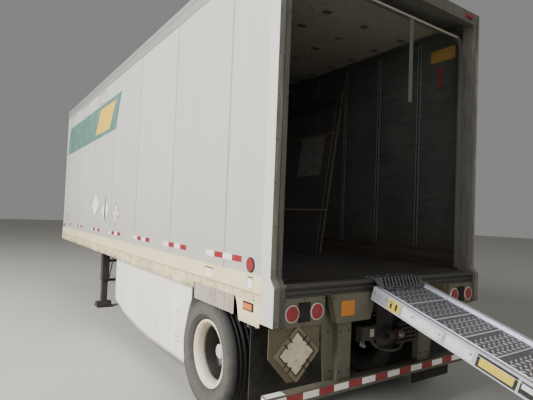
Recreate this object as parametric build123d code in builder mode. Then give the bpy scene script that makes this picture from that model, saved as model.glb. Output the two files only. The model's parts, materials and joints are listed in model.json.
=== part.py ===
from build123d import *
import os
from math import asin, cos, degrees, pi, radians, sin

# A short single-axle van trailer, parked on its landing gear, with its walk ramp out.
# +X is forward, +Y is the trailer's left, +Z is up, and the ground is Z = 0.
# Sizes are in millimetres. Places along the trailer are given from the rear door plane.

# Overall sizes
trailer_length = 8534.0
trailer_width = 2591.0
roof_height = 3962.0
floor_height = 1270.0
half_width = trailer_width / 2
seat_gap = 0.3

# Walls, roof and floor
wall_thickness = 38.0
rail_proud = 10.0
nose_radius = 160.0
nose_depth = 205.0
floor_thickness = 35.0
floor_boards = 8
floor_board_gap = 2.0
roof_skin = 4.0
bow_depth = 30.0
bow_width = 70.0
bow_pitch = 609.6
panel_pitch = 1219.2
first_seam = 700.0
seam_width = 3.0
seam_depth = 2.0
liner_post_width = 50.0
liner_post_depth = 3.0

# Side rails
rail_bottom = floor_height - 215.0
rail_bottom_rear = rail_bottom + 60.0
rail_ledge = rail_bottom + 125.0
rail_top = rail_bottom + 258.0
rail_box_width = 58.0
rail_wall = 8.0
rail_upper_step = 4.0
top_rail_bottom = roof_height - 167.0
top_rail_step = roof_height - 57.0

# Crossmembers under the floor
beam_height = 102.0
beam_flange = 57.0
beam_web = 6.0
beam_flange_thickness = 8.0
beam_pitch = 304.8
first_beam = 190.0

# Rear frame
post_width = 105.0
post_depth = 120.0
post_bottom = floor_height - 300.0
post_step = 50.0
post_step_low = floor_height - 20.0
post_step_high = floor_height + 41.0
header_depth = 122.0
header_bottom = roof_height - header_depth
sill_bottom = floor_height - 105.0
sill_reach = 55.0
sill_face = 20.0
sill_rib_height = 14.0
sill_rib_depth = 12.0
post_groove_width = 22.0
post_groove_depth = 6.0

# Roll-up door, open under the roof
door_panel_thickness = 18.0
door_panel_gap = 1.0
door_curve_radius = 300.0
door_track_width = 40.0
door_track_inside = 8.0
door_track_outside = 12.0
door_track_foot = floor_height + 20.0
door_track_end = 3300.0
door_spring_radius = 38.0
hinge_length = 70.0
hinge_width = 90.0
hinge_thickness = 5.0
strap_y = -390.0
strap_width = 40.0
strap_thickness = 4.0
strap_foot = 2920.0

# Scuff boards and loose bulkhead boards inside
scuff_height = 190.0
scuff_depth = 12.0
board_height = 2330.0
board_thickness = 12.0
board_foot = 330.0
board_gap = 0.5

# Coupler and kingpin
coupler_length = 1480.0
coupler_width = 1000.0
coupler_plate = 10.0
kingpin_setback = 914.0
kingpin_shank_radius = 25.4
kingpin_flange_radius = 35.7
kingpin_length = 84.0

# Landing gear
leg_beam_index = 18
leg_spread = 990.0
leg_outer_side = 127.0
leg_inner_side = 102.0
leg_outer_bottom = 470.0
leg_inner_bottom = 95.0
leg_shaft_high = 820.0
leg_shaft_low = 470.0
leg_shaft_radius = 24.0
shoe_side = 254.0
shoe_thickness = 12.0

# Axle, wheels and tyres
axle_place = 1000.0
axle_height = 500.0
tyre_radius = 500.0
tyre_width = 290.0
dual_centre = 968.0
dual_spacing = 343.0
rim_flange_radius = 298.5
rim_seat_radius = 284.0
rim_well_radius = 250.0
rim_width = 210.0
rim_metal = 9.0
drum_radius = 205.0
drum_length = 200.0
wheel_bore_radius = 83.0
hub_cap_radius = 66.0
hub_bore_clearance = 0.5
hand_holes = 5
hand_hole_width = 34.0
tyre_sides = 48
tyre_shoulder = 50.0
tyre_bead_slope = 50.0
spindle_radius = 42.0
axle_radius = 63.5
spring_spread = 520.0
spring_width = 76.0
chamber_radius = 88.0

# Air tank
tank_beam_index = 7
tank_radius = 120.0
tank_length = 620.0

# Underride guard
guard_bottom = 370.0
guard_tube = 90.0
guard_half_width = 1272.0
guard_post_inner = 440.0
guard_post_fold = 586.0
guard_post_outer = 755.0
guard_post_taper = 70.0
guard_post_depth = 60.0
guard_post_flange = 12.0

# Lamps, placard holder and fittings under the rear sill
lamp_panel_inner = 800.0
lamp_panel_height = 210.0
lamp_places = (1118.0, 882.0, -882.0, -1118.0)
lamp_radius = 66.0
lamp_height = sill_bottom - 109.0
placard_y = 1030.0
placard_height = sill_bottom - 415.0
placard_side = 300.0
centre_box_outline = ((225.0, 0.0), (730.0, 0.0), (711.0, -80.0), (670.0, -228.0), (290.0, -228.0), (246.0, -80.0))
pintle_plate_bottom = floor_height - 610.0
pintle_plate_place = 60.0
pintle_plate_thickness = 12.0
pintle_height = floor_height - 505.0

# Walk ramp
ramp_length = 4064.0
ramp_width = 660.0
ramp_drop_x = 150.0
ramp_hinge_height = 1205.0
ramp_tip = 12.0
ramp_beam_height = 114.0
ramp_beam_flange = 38.0
ramp_beam_wall = 5.0
ramp_deck_recess = 18.0
ramp_plank_pitch = 240.0
ramp_plank_gap = 2.0
ramp_plank_depth = 32.0
ramp_plank_skin = 5.0
ramp_beam_start = 47.0
ramp_pin_radius = 7.2
ramp_pin_drop = 13.0
knuckle_radius = 13.0
knuckle_bore = 7.5
knuckle_length = 60.0
ramp_first_plank = 15.0
apron_inside = 75.0
apron_thickness = 8.0
apron_slots = 5
apron_slot_length = 80.0
apron_slot_width = 14.0
apron_slot_pitch = 100.0

# Skirts, arch panels, gussets and mud flaps
skirt_rear = 1540.0
skirt_front = 4090.0
skirt_bottom = 245.0
skirt_bend = 2600.0
skirt_sweep = 3560.0
skirt_thickness = 6.0
skirt_fold = 3790.0
skirt_fold_depth = 110.0
skirt_strut_side = 40.0
skirt_strut_places = (1750.0, 2350.0, 2950.0, 3550.0)
skirt_y = 1222.0
arch_rear = 505.0
arch_front = 1242.0
arch_bottom = rail_bottom_rear - 155.0
gusset_bottom = rail_bottom_rear - 182.0
rail_notch = arch_front + 3.0
plate_thickness = 4.0
flap_bottom = 140.0
flap_top = rail_bottom_rear - 175.0
flap_middle = 965.0
flap_width = 610.0
bracket_inner = 565.0
bracket_height = 60.0

os.makedirs("parts", exist_ok=True)

# Values worked out from the sizes above
ramp_angle = degrees(asin((ramp_hinge_height - ramp_tip) / ramp_length))
ramp_reach = ramp_drop_x + ramp_length * cos(radians(ramp_angle))
rear_x = (ramp_reach - trailer_length) / 2
skin_y = half_width - rail_proud
liner_y = skin_y - wall_thickness
beam_top = floor_height - floor_thickness
beam_bottom = beam_top - beam_height
beam_end = half_width - rail_box_width
wall_bottom = rail_ledge + 20.0
beam_count = int((trailer_length - first_beam - 160.0) // beam_pitch) + 1
leg_place = first_beam + leg_beam_index * beam_pitch
sides = (("left", 1), ("right", -1))


def save(piece, name):
    """Label a finished piece and write it as one STEP file."""
    piece.part.label = name
    export_step(piece.part, f"parts/{name}.step")


def cross_plane(place, side=1):
    """A plane across the trailer at a distance from the rear, with X outwards and Y up."""
    return Plane(origin=(rear_x + place, 0, 0), x_dir=(0, side, 0), z_dir=(side, 0, 0))


def side_plane(y):
    """A plane along the trailer at one distance from its middle, with X forward from the rear and Y up."""
    return Plane(origin=(rear_x, y, 0), x_dir=(1, 0, 0), z_dir=(0, -1, 0))


def level_plane(z):
    """A level plane with X forward from the rear."""
    return Plane(origin=(rear_x, 0, z), x_dir=(1, 0, 0), z_dir=(0, 0, 1))


# Side walls: one slab a side, with a seam line at each panel and posts inside
wall_top = roof_height - roof_skin - bow_depth
wall_front = trailer_length - nose_depth
for side, s in sides:
    with BuildPart() as side_wall:
        with BuildSketch(side_plane(s * skin_y)):
            with Locations(((post_depth + wall_front) / 2, (wall_bottom + wall_top) / 2)):
                Rectangle(wall_front - post_depth, wall_top - wall_bottom)
        extrude(amount=s * wall_thickness)
        with BuildSketch(side_plane(s * skin_y)):
            seam = first_seam
            while seam < wall_front:
                with Locations((seam, (wall_bottom + wall_top) / 2)):
                    Rectangle(seam_width, wall_top - wall_bottom)
                seam += panel_pitch
        extrude(amount=s * seam_depth, mode=Mode.SUBTRACT)
        with BuildSketch(side_plane(s * liner_y)):
            post = first_seam - bow_pitch
            while post < wall_front - liner_post_width:
                if post > post_depth + liner_post_width:
                    with Locations((post, (floor_height + 215.0 + wall_top) / 2)):
                        Rectangle(liner_post_width, wall_top - floor_height - 215.0)
                post += bow_pitch
        extrude(amount=s * liner_post_depth)
    save(side_wall, f"side_wall_{side}")


def nose_outline(inset, back):
    """The trailer's plan outline at the nose, inset from the overall size, open from 'back' forward."""
    with BuildSketch() as outline:
        length = trailer_length - inset - back
        with Locations((back + length / 2, 0)):
            Rectangle(length, trailer_width - 2 * inset)
        front = outline.vertices().group_by(Axis.X)[-1]
        fillet(front, nose_radius - inset)
    return outline.sketch


# Nose wall with its rounded corners, and the rails that run round it
nose_skin = nose_outline(rail_proud, wall_front)
nose_liner = nose_outline(rail_proud + wall_thickness, wall_front)
with BuildPart() as nose_wall:
    with BuildSketch(level_plane(wall_bottom)):
        add(nose_skin)
        add(nose_liner, mode=Mode.SUBTRACT)
    extrude(amount=wall_top - wall_bottom)
save(nose_wall, "nose_wall")

with BuildPart() as nose_bottom_rail:
    with BuildSketch(level_plane(rail_bottom)):
        add(nose_outline(0.0, wall_front))
        add(nose_outline(rail_proud, wall_front), mode=Mode.SUBTRACT)
    extrude(amount=rail_ledge - rail_bottom)
    with BuildSketch(level_plane(rail_ledge)):
        add(nose_outline(rail_upper_step, wall_front))
        add(nose_outline(rail_proud, wall_front), mode=Mode.SUBTRACT)
    extrude(amount=rail_top - rail_ledge)
    with BuildSketch(level_plane(rail_bottom)):
        add(nose_outline(rail_proud, wall_front))
        add(nose_outline(rail_box_width, wall_front), mode=Mode.SUBTRACT)
    extrude(amount=wall_bottom - rail_bottom)
save(nose_bottom_rail, "nose_bottom_rail")

with BuildPart() as nose_top_rail:
    with BuildSketch(level_plane(top_rail_bottom)):
        add(nose_outline(rail_upper_step, wall_front))
        add(nose_outline(rail_proud, wall_front), mode=Mode.SUBTRACT)
    extrude(amount=top_rail_step - top_rail_bottom)
    with BuildSketch(level_plane(top_rail_step)):
        add(nose_outline(0.0, wall_front))
        add(nose_outline(rail_proud, wall_front), mode=Mode.SUBTRACT)
    extrude(amount=roof_height - top_rail_step)
save(nose_top_rail, "nose_top_rail")

# Bottom rails: a boxed extrusion a side, with a ledge and an upper flange that laps the wall
with BuildPart() as bottom_rails:
    for side, s in sides:
        with BuildSketch(cross_plane(0.0, s)):
            with BuildLine():
                Polyline(
                    (half_width, rail_bottom),
                    (half_width, rail_ledge),
                    (half_width - rail_upper_step, rail_ledge),
                    (half_width - rail_upper_step, rail_top),
                    (skin_y, rail_top),
                    (skin_y, wall_bottom),
                    (beam_end, wall_bottom),
                    (beam_end, rail_bottom),
                    close=True,
                )
            make_face()
            box_top = wall_bottom - rail_wall
            with Locations((half_width - rail_box_width / 2, (rail_bottom + rail_wall + box_top) / 2)):
                Rectangle(rail_box_width - 2 * rail_wall, box_top - rail_bottom - rail_wall, mode=Mode.SUBTRACT)
        extrude(amount=s * wall_front)
    with BuildSketch(side_plane(half_width)):
        with Locations((rail_notch / 2, (rail_bottom + rail_bottom_rear) / 2)):
            Rectangle(rail_notch, rail_bottom_rear - rail_bottom)
        with Locations((post_depth / 2, (rail_bottom + rail_top) / 2)):
            Rectangle(post_depth, rail_top - rail_bottom)
    extrude(amount=2 * half_width, mode=Mode.SUBTRACT)
save(bottom_rails, "bottom_rails")

# Top rails: a stepped flange over each wall's top edge
with BuildPart() as top_rails:
    for side, s in sides:
        with BuildSketch(cross_plane(post_depth, s)):
            with BuildLine():
                Polyline(
                    (skin_y, top_rail_bottom),
                    (half_width - rail_upper_step, top_rail_bottom),
                    (half_width - rail_upper_step, top_rail_step),
                    (half_width, top_rail_step),
                    (half_width, roof_height),
                    (skin_y, roof_height),
                    close=True,
                )
            make_face()
        extrude(amount=s * (wall_front - post_depth))
save(top_rails, "top_rails")

# Roof: one sheet on its bows
with BuildPart() as roof:
    with BuildSketch(level_plane(roof_height - roof_skin)):
        add(nose_outline(rail_proud, post_depth))
    extrude(amount=roof_skin)
    bow = first_seam
    while bow < wall_front:
        with BuildSketch(cross_plane(bow - bow_width / 2)):
            with Locations((0, roof_height - roof_skin - bow_depth / 2)):
                Rectangle(2 * liner_y, bow_depth)
        extrude(amount=bow_width)
        bow += bow_pitch
save(roof, "roof")

# Floor deck: long hardwood boards side by side, the outer ones rounded off at the nose
board_pitch = 2 * liner_y / floor_boards
with BuildPart() as floor_deck:
    with BuildSketch(level_plane(beam_top)):
        add(nose_outline(rail_proud + wall_thickness, post_depth))
        for index in range(1, floor_boards):
            with Locations((trailer_length / 2, -liner_y + index * board_pitch)):
                Rectangle(trailer_length, floor_board_gap, mode=Mode.SUBTRACT)
    extrude(amount=floor_thickness)
save(floor_deck, "floor_deck")

# Crossmembers: a row of I-beams between the bottom rails
with BuildPart() as crossmembers:
    for index in range(beam_count):
        with BuildSketch(side_plane(beam_end)):
            place = first_beam + index * beam_pitch
            with Locations((place, (beam_top + beam_bottom) / 2)):
                Rectangle(beam_web, beam_height)
            with Locations((place, beam_top - beam_flange_thickness / 2)):
                Rectangle(beam_flange, beam_flange_thickness)
            with Locations((place, beam_bottom + beam_flange_thickness / 2)):
                Rectangle(beam_flange, beam_flange_thickness)
        extrude(amount=2 * beam_end)
save(crossmembers, "crossmembers")

# Rear frame: two stepped posts, a header and a sill
with BuildPart() as rear_posts:
    for side, s in sides:
        with BuildSketch(side_plane(s * (half_width - rail_upper_step))):
            with BuildLine():
                Polyline(
                    (post_depth, post_bottom),
                    (-post_step, post_bottom),
                    (-post_step, post_step_low),
                    (0, post_step_high),
                    (0, roof_height),
                    (post_depth, roof_height),
                    close=True,
                )
            make_face()
        extrude(amount=s * (post_width - rail_upper_step))
        with BuildSketch(cross_plane(0.0)):
            with Locations((s * (half_width - post_width / 2), (post_step_high + header_bottom) / 2 + 20.0)):
                Rectangle(post_groove_width, header_bottom - post_step_high)
        extrude(amount=post_groove_depth, mode=Mode.SUBTRACT)
save(rear_posts, "rear_posts")

post_inner = half_width - post_width
with BuildPart() as rear_header:
    with BuildSketch(side_plane(post_inner)):
        with BuildLine():
            Polyline(
                (0, header_bottom),
                (0, roof_height),
                (post_depth, roof_height),
                (post_depth, roof_height - 30.0),
                (30.0, roof_height - 30.0),
                (30.0, header_bottom + 12.0),
                (70.0, header_bottom + 12.0),
                (70.0, header_bottom),
                close=True,
            )
        make_face()
    extrude(amount=2 * post_inner)
save(rear_header, "rear_header")

with BuildPart() as rear_sill:
    with BuildSketch(side_plane(post_inner)):
        with BuildLine():
            Polyline(
                (post_depth, floor_height),
                (-sill_reach, floor_height),
                (-sill_reach, floor_height - 28.0),
                (-sill_face, floor_height - 40.0),
                (-sill_face, sill_bottom),
                (post_depth, sill_bottom),
                close=True,
            )
        make_face()
        for rib_height in (floor_height - 62.0, sill_bottom + sill_rib_height / 2):
            with Locations((-sill_face - sill_rib_depth / 2, rib_height)):
                Rectangle(sill_rib_depth, sill_rib_height)
    extrude(amount=2 * post_inner)
save(rear_sill, "rear_sill")

# Roll-up door: panels that follow the curved track, then lie under the roof
track_half = door_track_width / 2
door_track_x = post_depth + track_half
track_level = roof_height - roof_skin - bow_depth - seat_gap - track_half
curve_centre_x = door_track_x + door_curve_radius
curve_centre_z = track_level - door_curve_radius


def track_point(distance):
    """A point of the door's path, measured from the start of the level run; negative is down the curve."""
    if distance >= 0:
        return (curve_centre_x + distance, track_level)
    turn = min(-distance / door_curve_radius, pi / 2)
    drop = max(-distance - door_curve_radius * pi / 2, 0.0)
    x = curve_centre_x - door_curve_radius * sin(turn)
    z = curve_centre_z + door_curve_radius * cos(turn) - drop
    return (x, z)


# Each panel's length, from the bottom panel to the top one
door_panels = (320.0, 412.0, 412.0, 412.0, 412.0, 412.0, 190.0)
door_bottom = -door_panels[0]
hinge_rows = (-1080.0, -450.0, 100.0, 650.0, 1080.0)
door_half_width = post_inner - door_track_inside
with BuildPart() as door:
    start = door_bottom
    for length in door_panels:
        low = Vector(track_point(start)[0], 0, track_point(start)[1])
        high = Vector(track_point(start + length)[0], 0, track_point(start + length)[1])
        along = (high - low).normalized()
        panel_plane = Plane(
            origin=(rear_x + low.X, 0, low.Z), x_dir=(along.X, 0, along.Z), z_dir=(0, -1, 0)
        )
        with BuildSketch(panel_plane.offset(-door_half_width)):
            with Locations(((high - low).length / 2, door_panel_thickness / 2)):
                Rectangle((high - low).length - door_panel_gap, door_panel_thickness)
        extrude(amount=2 * door_half_width)
        start += length
save(door, "roll_door")

# Hinge plates across the joints of the level panels, on their inner face
with BuildPart() as door_hinges:
    joint = door_bottom
    for length in door_panels[:-1]:
        joint += length
        if joint > 0:
            with BuildSketch(level_plane(track_level)):
                for y in hinge_rows:
                    with Locations((curve_centre_x + joint, y)):
                        Rectangle(hinge_length, hinge_width)
            extrude(amount=-hinge_thickness)
save(door_hinges, "door_hinges")

# Pull strap, a webbing that hangs from the bottom panel's edge
strap_place = track_point(door_bottom)[0] - strap_thickness / 2
strap_top = track_point(door_bottom)[1]
with BuildPart() as strap:
    with BuildSketch(cross_plane(strap_place)):
        with Locations((strap_y, (strap_top + strap_foot) / 2)):
            Rectangle(strap_width, strap_top - strap_foot)
    extrude(amount=strap_thickness)
save(strap, "pull_strap")

# Door tracks: an angle a side that follows the door's edge, hung from the roof bows
with BuildPart() as tracks:
    for side, s in sides:
        with BuildSketch(side_plane(s * (post_inner + door_track_outside))):
            with BuildLine():
                Line((door_track_x - track_half, door_track_foot), (door_track_x - track_half, curve_centre_z))
                CenterArc((curve_centre_x, curve_centre_z), door_curve_radius + track_half, 90.0, 90.0)
                Line((curve_centre_x, track_level + track_half), (door_track_end, track_level + track_half))
                Line((door_track_end, track_level + track_half), (door_track_end, track_level - track_half))
                Line((door_track_end, track_level - track_half), (curve_centre_x, track_level - track_half))
                CenterArc((curve_centre_x, curve_centre_z), door_curve_radius - track_half, 90.0, 90.0)
                Line((door_track_x + track_half, curve_centre_z), (door_track_x + track_half, door_track_foot))
                Line((door_track_x + track_half, door_track_foot), (door_track_x - track_half, door_track_foot))
            make_face()
        extrude(amount=s * (door_track_outside + door_track_inside - seat_gap))
save(tracks, "door_tracks")

# Counterbalance spring shaft across the tracks' inner ends, in a bracket a side
spring_z = track_level - track_half - door_spring_radius - 20.0
with BuildPart() as door_spring:
    with BuildSketch(side_plane(liner_y - seat_gap)):
        with Locations((door_track_end - 90.0, spring_z)):
            Circle(14.0)
    extrude(amount=2 * (liner_y - seat_gap))
    with BuildSketch(side_plane(post_inner - 60.0)):
        with Locations((door_track_end - 90.0, spring_z)):
            Circle(door_spring_radius)
    extrude(amount=2 * post_inner - 120.0)
save(door_spring, "door_spring_shaft")

# Scuff boards along the foot of each wall
with BuildPart() as scuff_boards:
    for side, s in sides:
        with BuildSketch(side_plane(s * liner_y)):
            with Locations(((post_depth + wall_front) / 2, floor_height + scuff_height / 2)):
                Rectangle(wall_front - post_depth - 10.0, scuff_height)
        extrude(amount=s * scuff_depth)
save(scuff_boards, "scuff_boards")

# Loose plywood bulkhead boards that lean on the right wall
lean = degrees(asin(board_foot / board_height))
with BuildPart() as boards:
    for index, (rear, length, height) in enumerate(((1960.0, 1220.0, board_height), (2050.0, 1180.0, board_height - 120.0))):
        top_y = -liner_y + liner_post_depth + 0.5
        foot_y = top_y + board_foot
        board_plane = Plane(
            origin=(rear_x + rear, foot_y, floor_height + 0.3),
            x_dir=(1, 0, 0),
            z_dir=(0, -cos(radians(lean)), -sin(radians(lean))),
        )
        with BuildSketch(board_plane.offset(-index * (board_thickness + board_gap))):
            with Locations((length / 2, height / 2 - index * board_thickness * sin(radians(lean)))):
                Rectangle(length, height)
        extrude(amount=-board_thickness)
save(boards, "bulkhead_boards")

# Coupler plate with its ribs, and the kingpin
coupler_rear = trailer_length - coupler_length
with BuildPart() as coupler:
    with BuildSketch(level_plane(rail_bottom + 10.0)):
        with Locations((coupler_rear + coupler_length / 2 - 40.0, 0)):
            Rectangle(coupler_length - 80.0, coupler_width)
    extrude(amount=coupler_plate)
    with BuildSketch(cross_plane(coupler_rear)):
        for y in (-coupler_width / 2 + 20.0, -coupler_width / 6, coupler_width / 6, coupler_width / 2 - 20.0):
            with Locations((y, (rail_bottom + 10.0 + coupler_plate + beam_bottom) / 2)):
                Rectangle(12.0, beam_bottom - rail_bottom - 10.0 - coupler_plate)
    extrude(amount=coupler_length - 80.0)
save(coupler, "upper_coupler")

kingpin_place = trailer_length - kingpin_setback
with BuildPart() as kingpin:
    with BuildSketch(Plane(origin=(rear_x + kingpin_place, 0, rail_bottom + 10.0), x_dir=(1, 0, 0), z_dir=(0, -1, 0))):
        with BuildLine():
            Polyline(
                (0, 0),
                (kingpin_flange_radius + 6.0, 0),
                (kingpin_flange_radius + 6.0, -12.0),
                (kingpin_flange_radius, -12.0),
                (kingpin_flange_radius, -34.0),
                (kingpin_shank_radius, -34.0),
                (kingpin_shank_radius, -kingpin_length + 16.0),
                (kingpin_flange_radius, -kingpin_length + 16.0),
                (kingpin_flange_radius, -kingpin_length + 4.0),
                (kingpin_flange_radius - 4.0, -kingpin_length),
                (0, -kingpin_length),
                close=True,
            )
        make_face()
    revolve(axis=Axis((rear_x + kingpin_place, 0, 0), (0, 0, 1)))
save(kingpin, "kingpin")

# Landing gear: an outer and an inner leg tube a side, each on its sand shoe
with BuildPart() as legs:
    for side, s in sides:
        with BuildSketch(level_plane(leg_outer_bottom)):
            with Locations((leg_place, s * leg_spread)):
                RectangleRounded(leg_outer_side, leg_outer_side, 12.0)
        extrude(amount=beam_bottom - leg_outer_bottom)
        with BuildSketch(level_plane(leg_inner_bottom)):
            with Locations((leg_place, s * leg_spread)):
                RectangleRounded(leg_inner_side, leg_inner_side, 9.0)
        extrude(amount=leg_outer_bottom - leg_inner_bottom)
save(legs, "landing_legs")

with BuildPart() as shoes:
    for side, s in sides:
        with BuildSketch(side_plane(s * leg_spread + shoe_side / 2)):
            with BuildLine():
                Polyline(
                    (leg_place - shoe_side / 2, 25.0),
                    (leg_place - shoe_side / 2 + 25.0, 0),
                    (leg_place + shoe_side / 2 - 25.0, 0),
                    (leg_place + shoe_side / 2, 25.0),
                    (leg_place + shoe_side / 2, 25.0 + shoe_thickness),
                    (leg_place + 70.0, shoe_thickness + 12.0),
                    (leg_place + 55.0, leg_inner_bottom),
                    (leg_place - 55.0, leg_inner_bottom),
                    (leg_place - 70.0, shoe_thickness + 12.0),
                    (leg_place - shoe_side / 2, 25.0 + shoe_thickness),
                    close=True,
                )
            make_face()
        extrude(amount=shoe_side)
save(shoes, "landing_shoes")

# A wing plate and two braces hold each leg, and two cross tubes join the pair
brace_y = leg_spread - leg_outer_side / 2
with BuildPart() as braces:
    for height in (leg_shaft_high, leg_shaft_low):
        with BuildSketch(side_plane(brace_y)):
            with Locations((leg_place, height)):
                Circle(leg_shaft_radius)
        extrude(amount=2 * brace_y)
    for side, s in sides:
        with BuildSketch(side_plane(s * brace_y)):
            with BuildLine():
                Polyline(
                    (leg_place - 400.0, beam_bottom),
                    (leg_place - 340.0, beam_bottom),
                    (leg_place - leg_outer_side / 2, leg_shaft_low + 110.0),
                    (leg_place + leg_outer_side / 2, leg_shaft_low + 110.0),
                    (leg_place + 340.0, beam_bottom),
                    (leg_place + 400.0, beam_bottom),
                    (leg_place + leg_outer_side / 2, leg_shaft_low + 40.0),
                    (leg_place - leg_outer_side / 2, leg_shaft_low + 40.0),
                    close=True,
                )
            make_face()
        extrude(amount=s * 10.0)
save(braces, "landing_braces")

# Hand crank, folded up on the right leg
crank_y = -leg_spread - leg_outer_side / 2
with BuildPart() as crank:
    with BuildSketch(side_plane(crank_y)):
        with Locations((leg_place, leg_shaft_high + 30.0)):
            Rectangle(100.0, 190.0)
    extrude(amount=45.0)
    with BuildSketch(side_plane(crank_y)):
        with Locations((leg_place, leg_shaft_high)):
            Circle(14.0)
    extrude(amount=90.0)
    with BuildSketch(side_plane(crank_y - 70.0)):
        with Locations((leg_place - 150.0, leg_shaft_high)):
            Rectangle(328.0, 26.0)
    extrude(amount=10.0)
    with BuildSketch(side_plane(crank_y - 20.0)):
        with Locations((leg_place - 300.0, leg_shaft_high)):
            Circle(13.0)
    extrude(amount=50.0)
save(crank, "landing_crank")

# Wheels: twin tyres on dished rims, with hub and drum, turning on each spindle
axle_x = rear_x + axle_place


def axle_plane(y, facing):
    """A plane through the axle line at one Y, with X along the axle towards 'facing' and Y up."""
    return Plane(origin=(axle_x, y, axle_height), x_dir=(0, facing, 0), z_dir=(facing, 0, 0))


axle_line = Axis((axle_x, 0, axle_height), (0, 1, 0))
half_tyre = tyre_width / 2
half_rim = rim_width / 2
flange = dual_centre - rim_metal
# Place of each wheel of a pair, and which way its dish faces
wheel_rows = ((dual_centre + dual_spacing / 2, 1), (dual_centre - dual_spacing / 2, -1))
bead = half_rim - 12.0
bead_clearance = 2.0


def wheel_plane(y):
    """A plane through one wheel, square to the axle."""
    return Plane(origin=(axle_x, y, axle_height), x_dir=(1, 0, 0), z_dir=(0, 1, 0))


def tyre_ring(radius):
    """A many-sided ring line with a flat side down; the sides keep a tyre light."""
    RegularPolygon(radius, tyre_sides, major_radius=False, rotation=180.0 / tyre_sides)


for side, s in sides:
    with BuildPart() as tyres:
        for centre, dish in wheel_rows:
            with BuildSketch(wheel_plane(s * centre)):
                tyre_ring(tyre_radius)
            extrude(amount=half_tyre, both=True)
            with BuildSketch(wheel_plane(s * centre)):
                tyre_ring(rim_seat_radius)
            extrude(amount=half_tyre, both=True, mode=Mode.SUBTRACT)
            with BuildSketch(wheel_plane(s * centre + bead), wheel_plane(s * centre - half_tyre)):
                tyre_ring(rim_flange_radius + bead_clearance)
            extrude(amount=half_tyre - bead, mode=Mode.SUBTRACT)
        side_walls = tyres.faces().filter_by(Axis.Y).group_by(SortBy.AREA)[-1]
        chamfer([edge for wall in side_walls for edge in wall.outer_wire().edges()], tyre_shoulder)
        side_walls = tyres.faces().filter_by(Axis.Y).group_by(SortBy.AREA)[-1]
        inner_wires = [wire for wall in side_walls for wire in wall.inner_wires()]
        chamfer([edge for wire in inner_wires for edge in wire.edges()], tyre_bead_slope)
    save(tyres, f"tyres_{side}")
    with BuildPart() as rims:
        for centre, dish in wheel_rows:
            face = -dual_spacing / 2
            barrel = rim_seat_radius - rim_metal
            well = rim_well_radius - rim_metal
            with BuildSketch(axle_plane(s * centre, s * dish)):
                with BuildLine():
                    Polyline(
                        (half_rim, rim_flange_radius),
                        (bead, rim_flange_radius),
                        (bead, rim_seat_radius),
                        (-bead, rim_seat_radius),
                        (-bead, rim_flange_radius),
                        (-half_rim, rim_flange_radius),
                        (-half_rim, barrel),
                        (-78.0, barrel),
                        (face, 160.0),
                        (face, wheel_bore_radius),
                        (face + rim_metal, wheel_bore_radius),
                        (face + rim_metal, 156.0),
                        (-84.0, well),
                        (half_rim - 64.0, well),
                        (half_rim - 46.0, barrel),
                        (half_rim, barrel),
                        close=True,
                    )
                make_face()
            revolve(axis=axle_line)
            with BuildSketch(axle_plane(s * (centre + 40.0), s)):
                with PolarLocations(188.0, hand_holes):
                    SlotOverall(78.0, hand_hole_width, rotation=90.0)
            extrude(amount=-dual_spacing, both=True, mode=Mode.SUBTRACT)
    save(rims, f"rims_{side}")
    with BuildPart() as hub:
        with BuildSketch(axle_plane(0.0, s)):
            with BuildLine():
                Polyline(
                    (flange - drum_length, drum_radius - 12.0),
                    (flange - drum_length, drum_radius),
                    (flange - 60.0, drum_radius),
                    (flange, drum_radius - 55.0),
                    (flange, wheel_bore_radius - 1.0),
                    (flange + 119.0, wheel_bore_radius - 1.0),
                    (flange + 119.0, hub_cap_radius),
                    (flange + 166.0, hub_cap_radius),
                    (flange + 174.0, hub_cap_radius - 10.0),
                    (flange + 174.0, 0),
                    (flange + 139.0, 0),
                    (flange + 139.0, spindle_radius + hub_bore_clearance),
                    (flange - 99.0, spindle_radius + hub_bore_clearance),
                    (flange - 99.0, 80.0),
                    (flange - 19.0, 80.0),
                    (flange - 19.0, drum_radius - 62.0),
                    (flange - 66.0, drum_radius - 12.0),
                    close=True,
                )
            make_face()
        revolve(axis=axle_line)
    save(hub, f"hub_{side}")

# Axle tube with its spindles
with BuildPart() as axle:
    with BuildSketch(Plane(origin=(axle_x, 0, axle_height), x_dir=(0, 1, 0), z_dir=(1, 0, 0))):
        with BuildLine():
            tube_end = dual_centre - rim_metal - drum_length - 20.0
            spindle_end = dual_centre + 124.0
            Polyline(
                (-spindle_end, 0),
                (-spindle_end, spindle_radius),
                (-tube_end - 60.0, spindle_radius),
                (-tube_end, axle_radius),
                (tube_end, axle_radius),
                (tube_end + 60.0, spindle_radius),
                (spindle_end, spindle_radius),
                (spindle_end, 0),
                close=True,
            )
        make_face()
    revolve(axis=axle_line)
save(axle, "axle")

# Spring hangers and subframe rails, and the leaf springs
hanger_reach = 560.0
leaf_thickness = 18.0
# Reach of each leaf from the axle, from the main leaf down
leaf_reaches = (590.0, 430.0, 290.0)
leaf_sag = 30.0
clamp_plate = 16.0
clamp_rod = 18.0
clamp_reach = 76.0
spring_top = axle_height + axle_radius + seat_gap + leaf_thickness * len(leaf_reaches) + leaf_sag
with BuildPart() as subframe:
    for side, s in sides:
        with BuildSketch(cross_plane(240.0)):
            with Locations((s * spring_spread, (rail_bottom - 20.0 + beam_bottom) / 2)):
                Rectangle(90.0, beam_bottom - rail_bottom + 20.0)
        extrude(amount=1640.0)
        for place in (axle_place - hanger_reach, axle_place + hanger_reach):
            with BuildSketch(side_plane(s * spring_spread + 45.0)):
                with BuildLine():
                    Polyline(
                        (place - 110.0, rail_bottom - 20.0),
                        (place + 110.0, rail_bottom - 20.0),
                        (place + 60.0, spring_top + seat_gap),
                        (place - 60.0, spring_top + seat_gap),
                        close=True,
                    )
                make_face()
            extrude(amount=90.0)
save(subframe, "suspension_frame")

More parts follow.
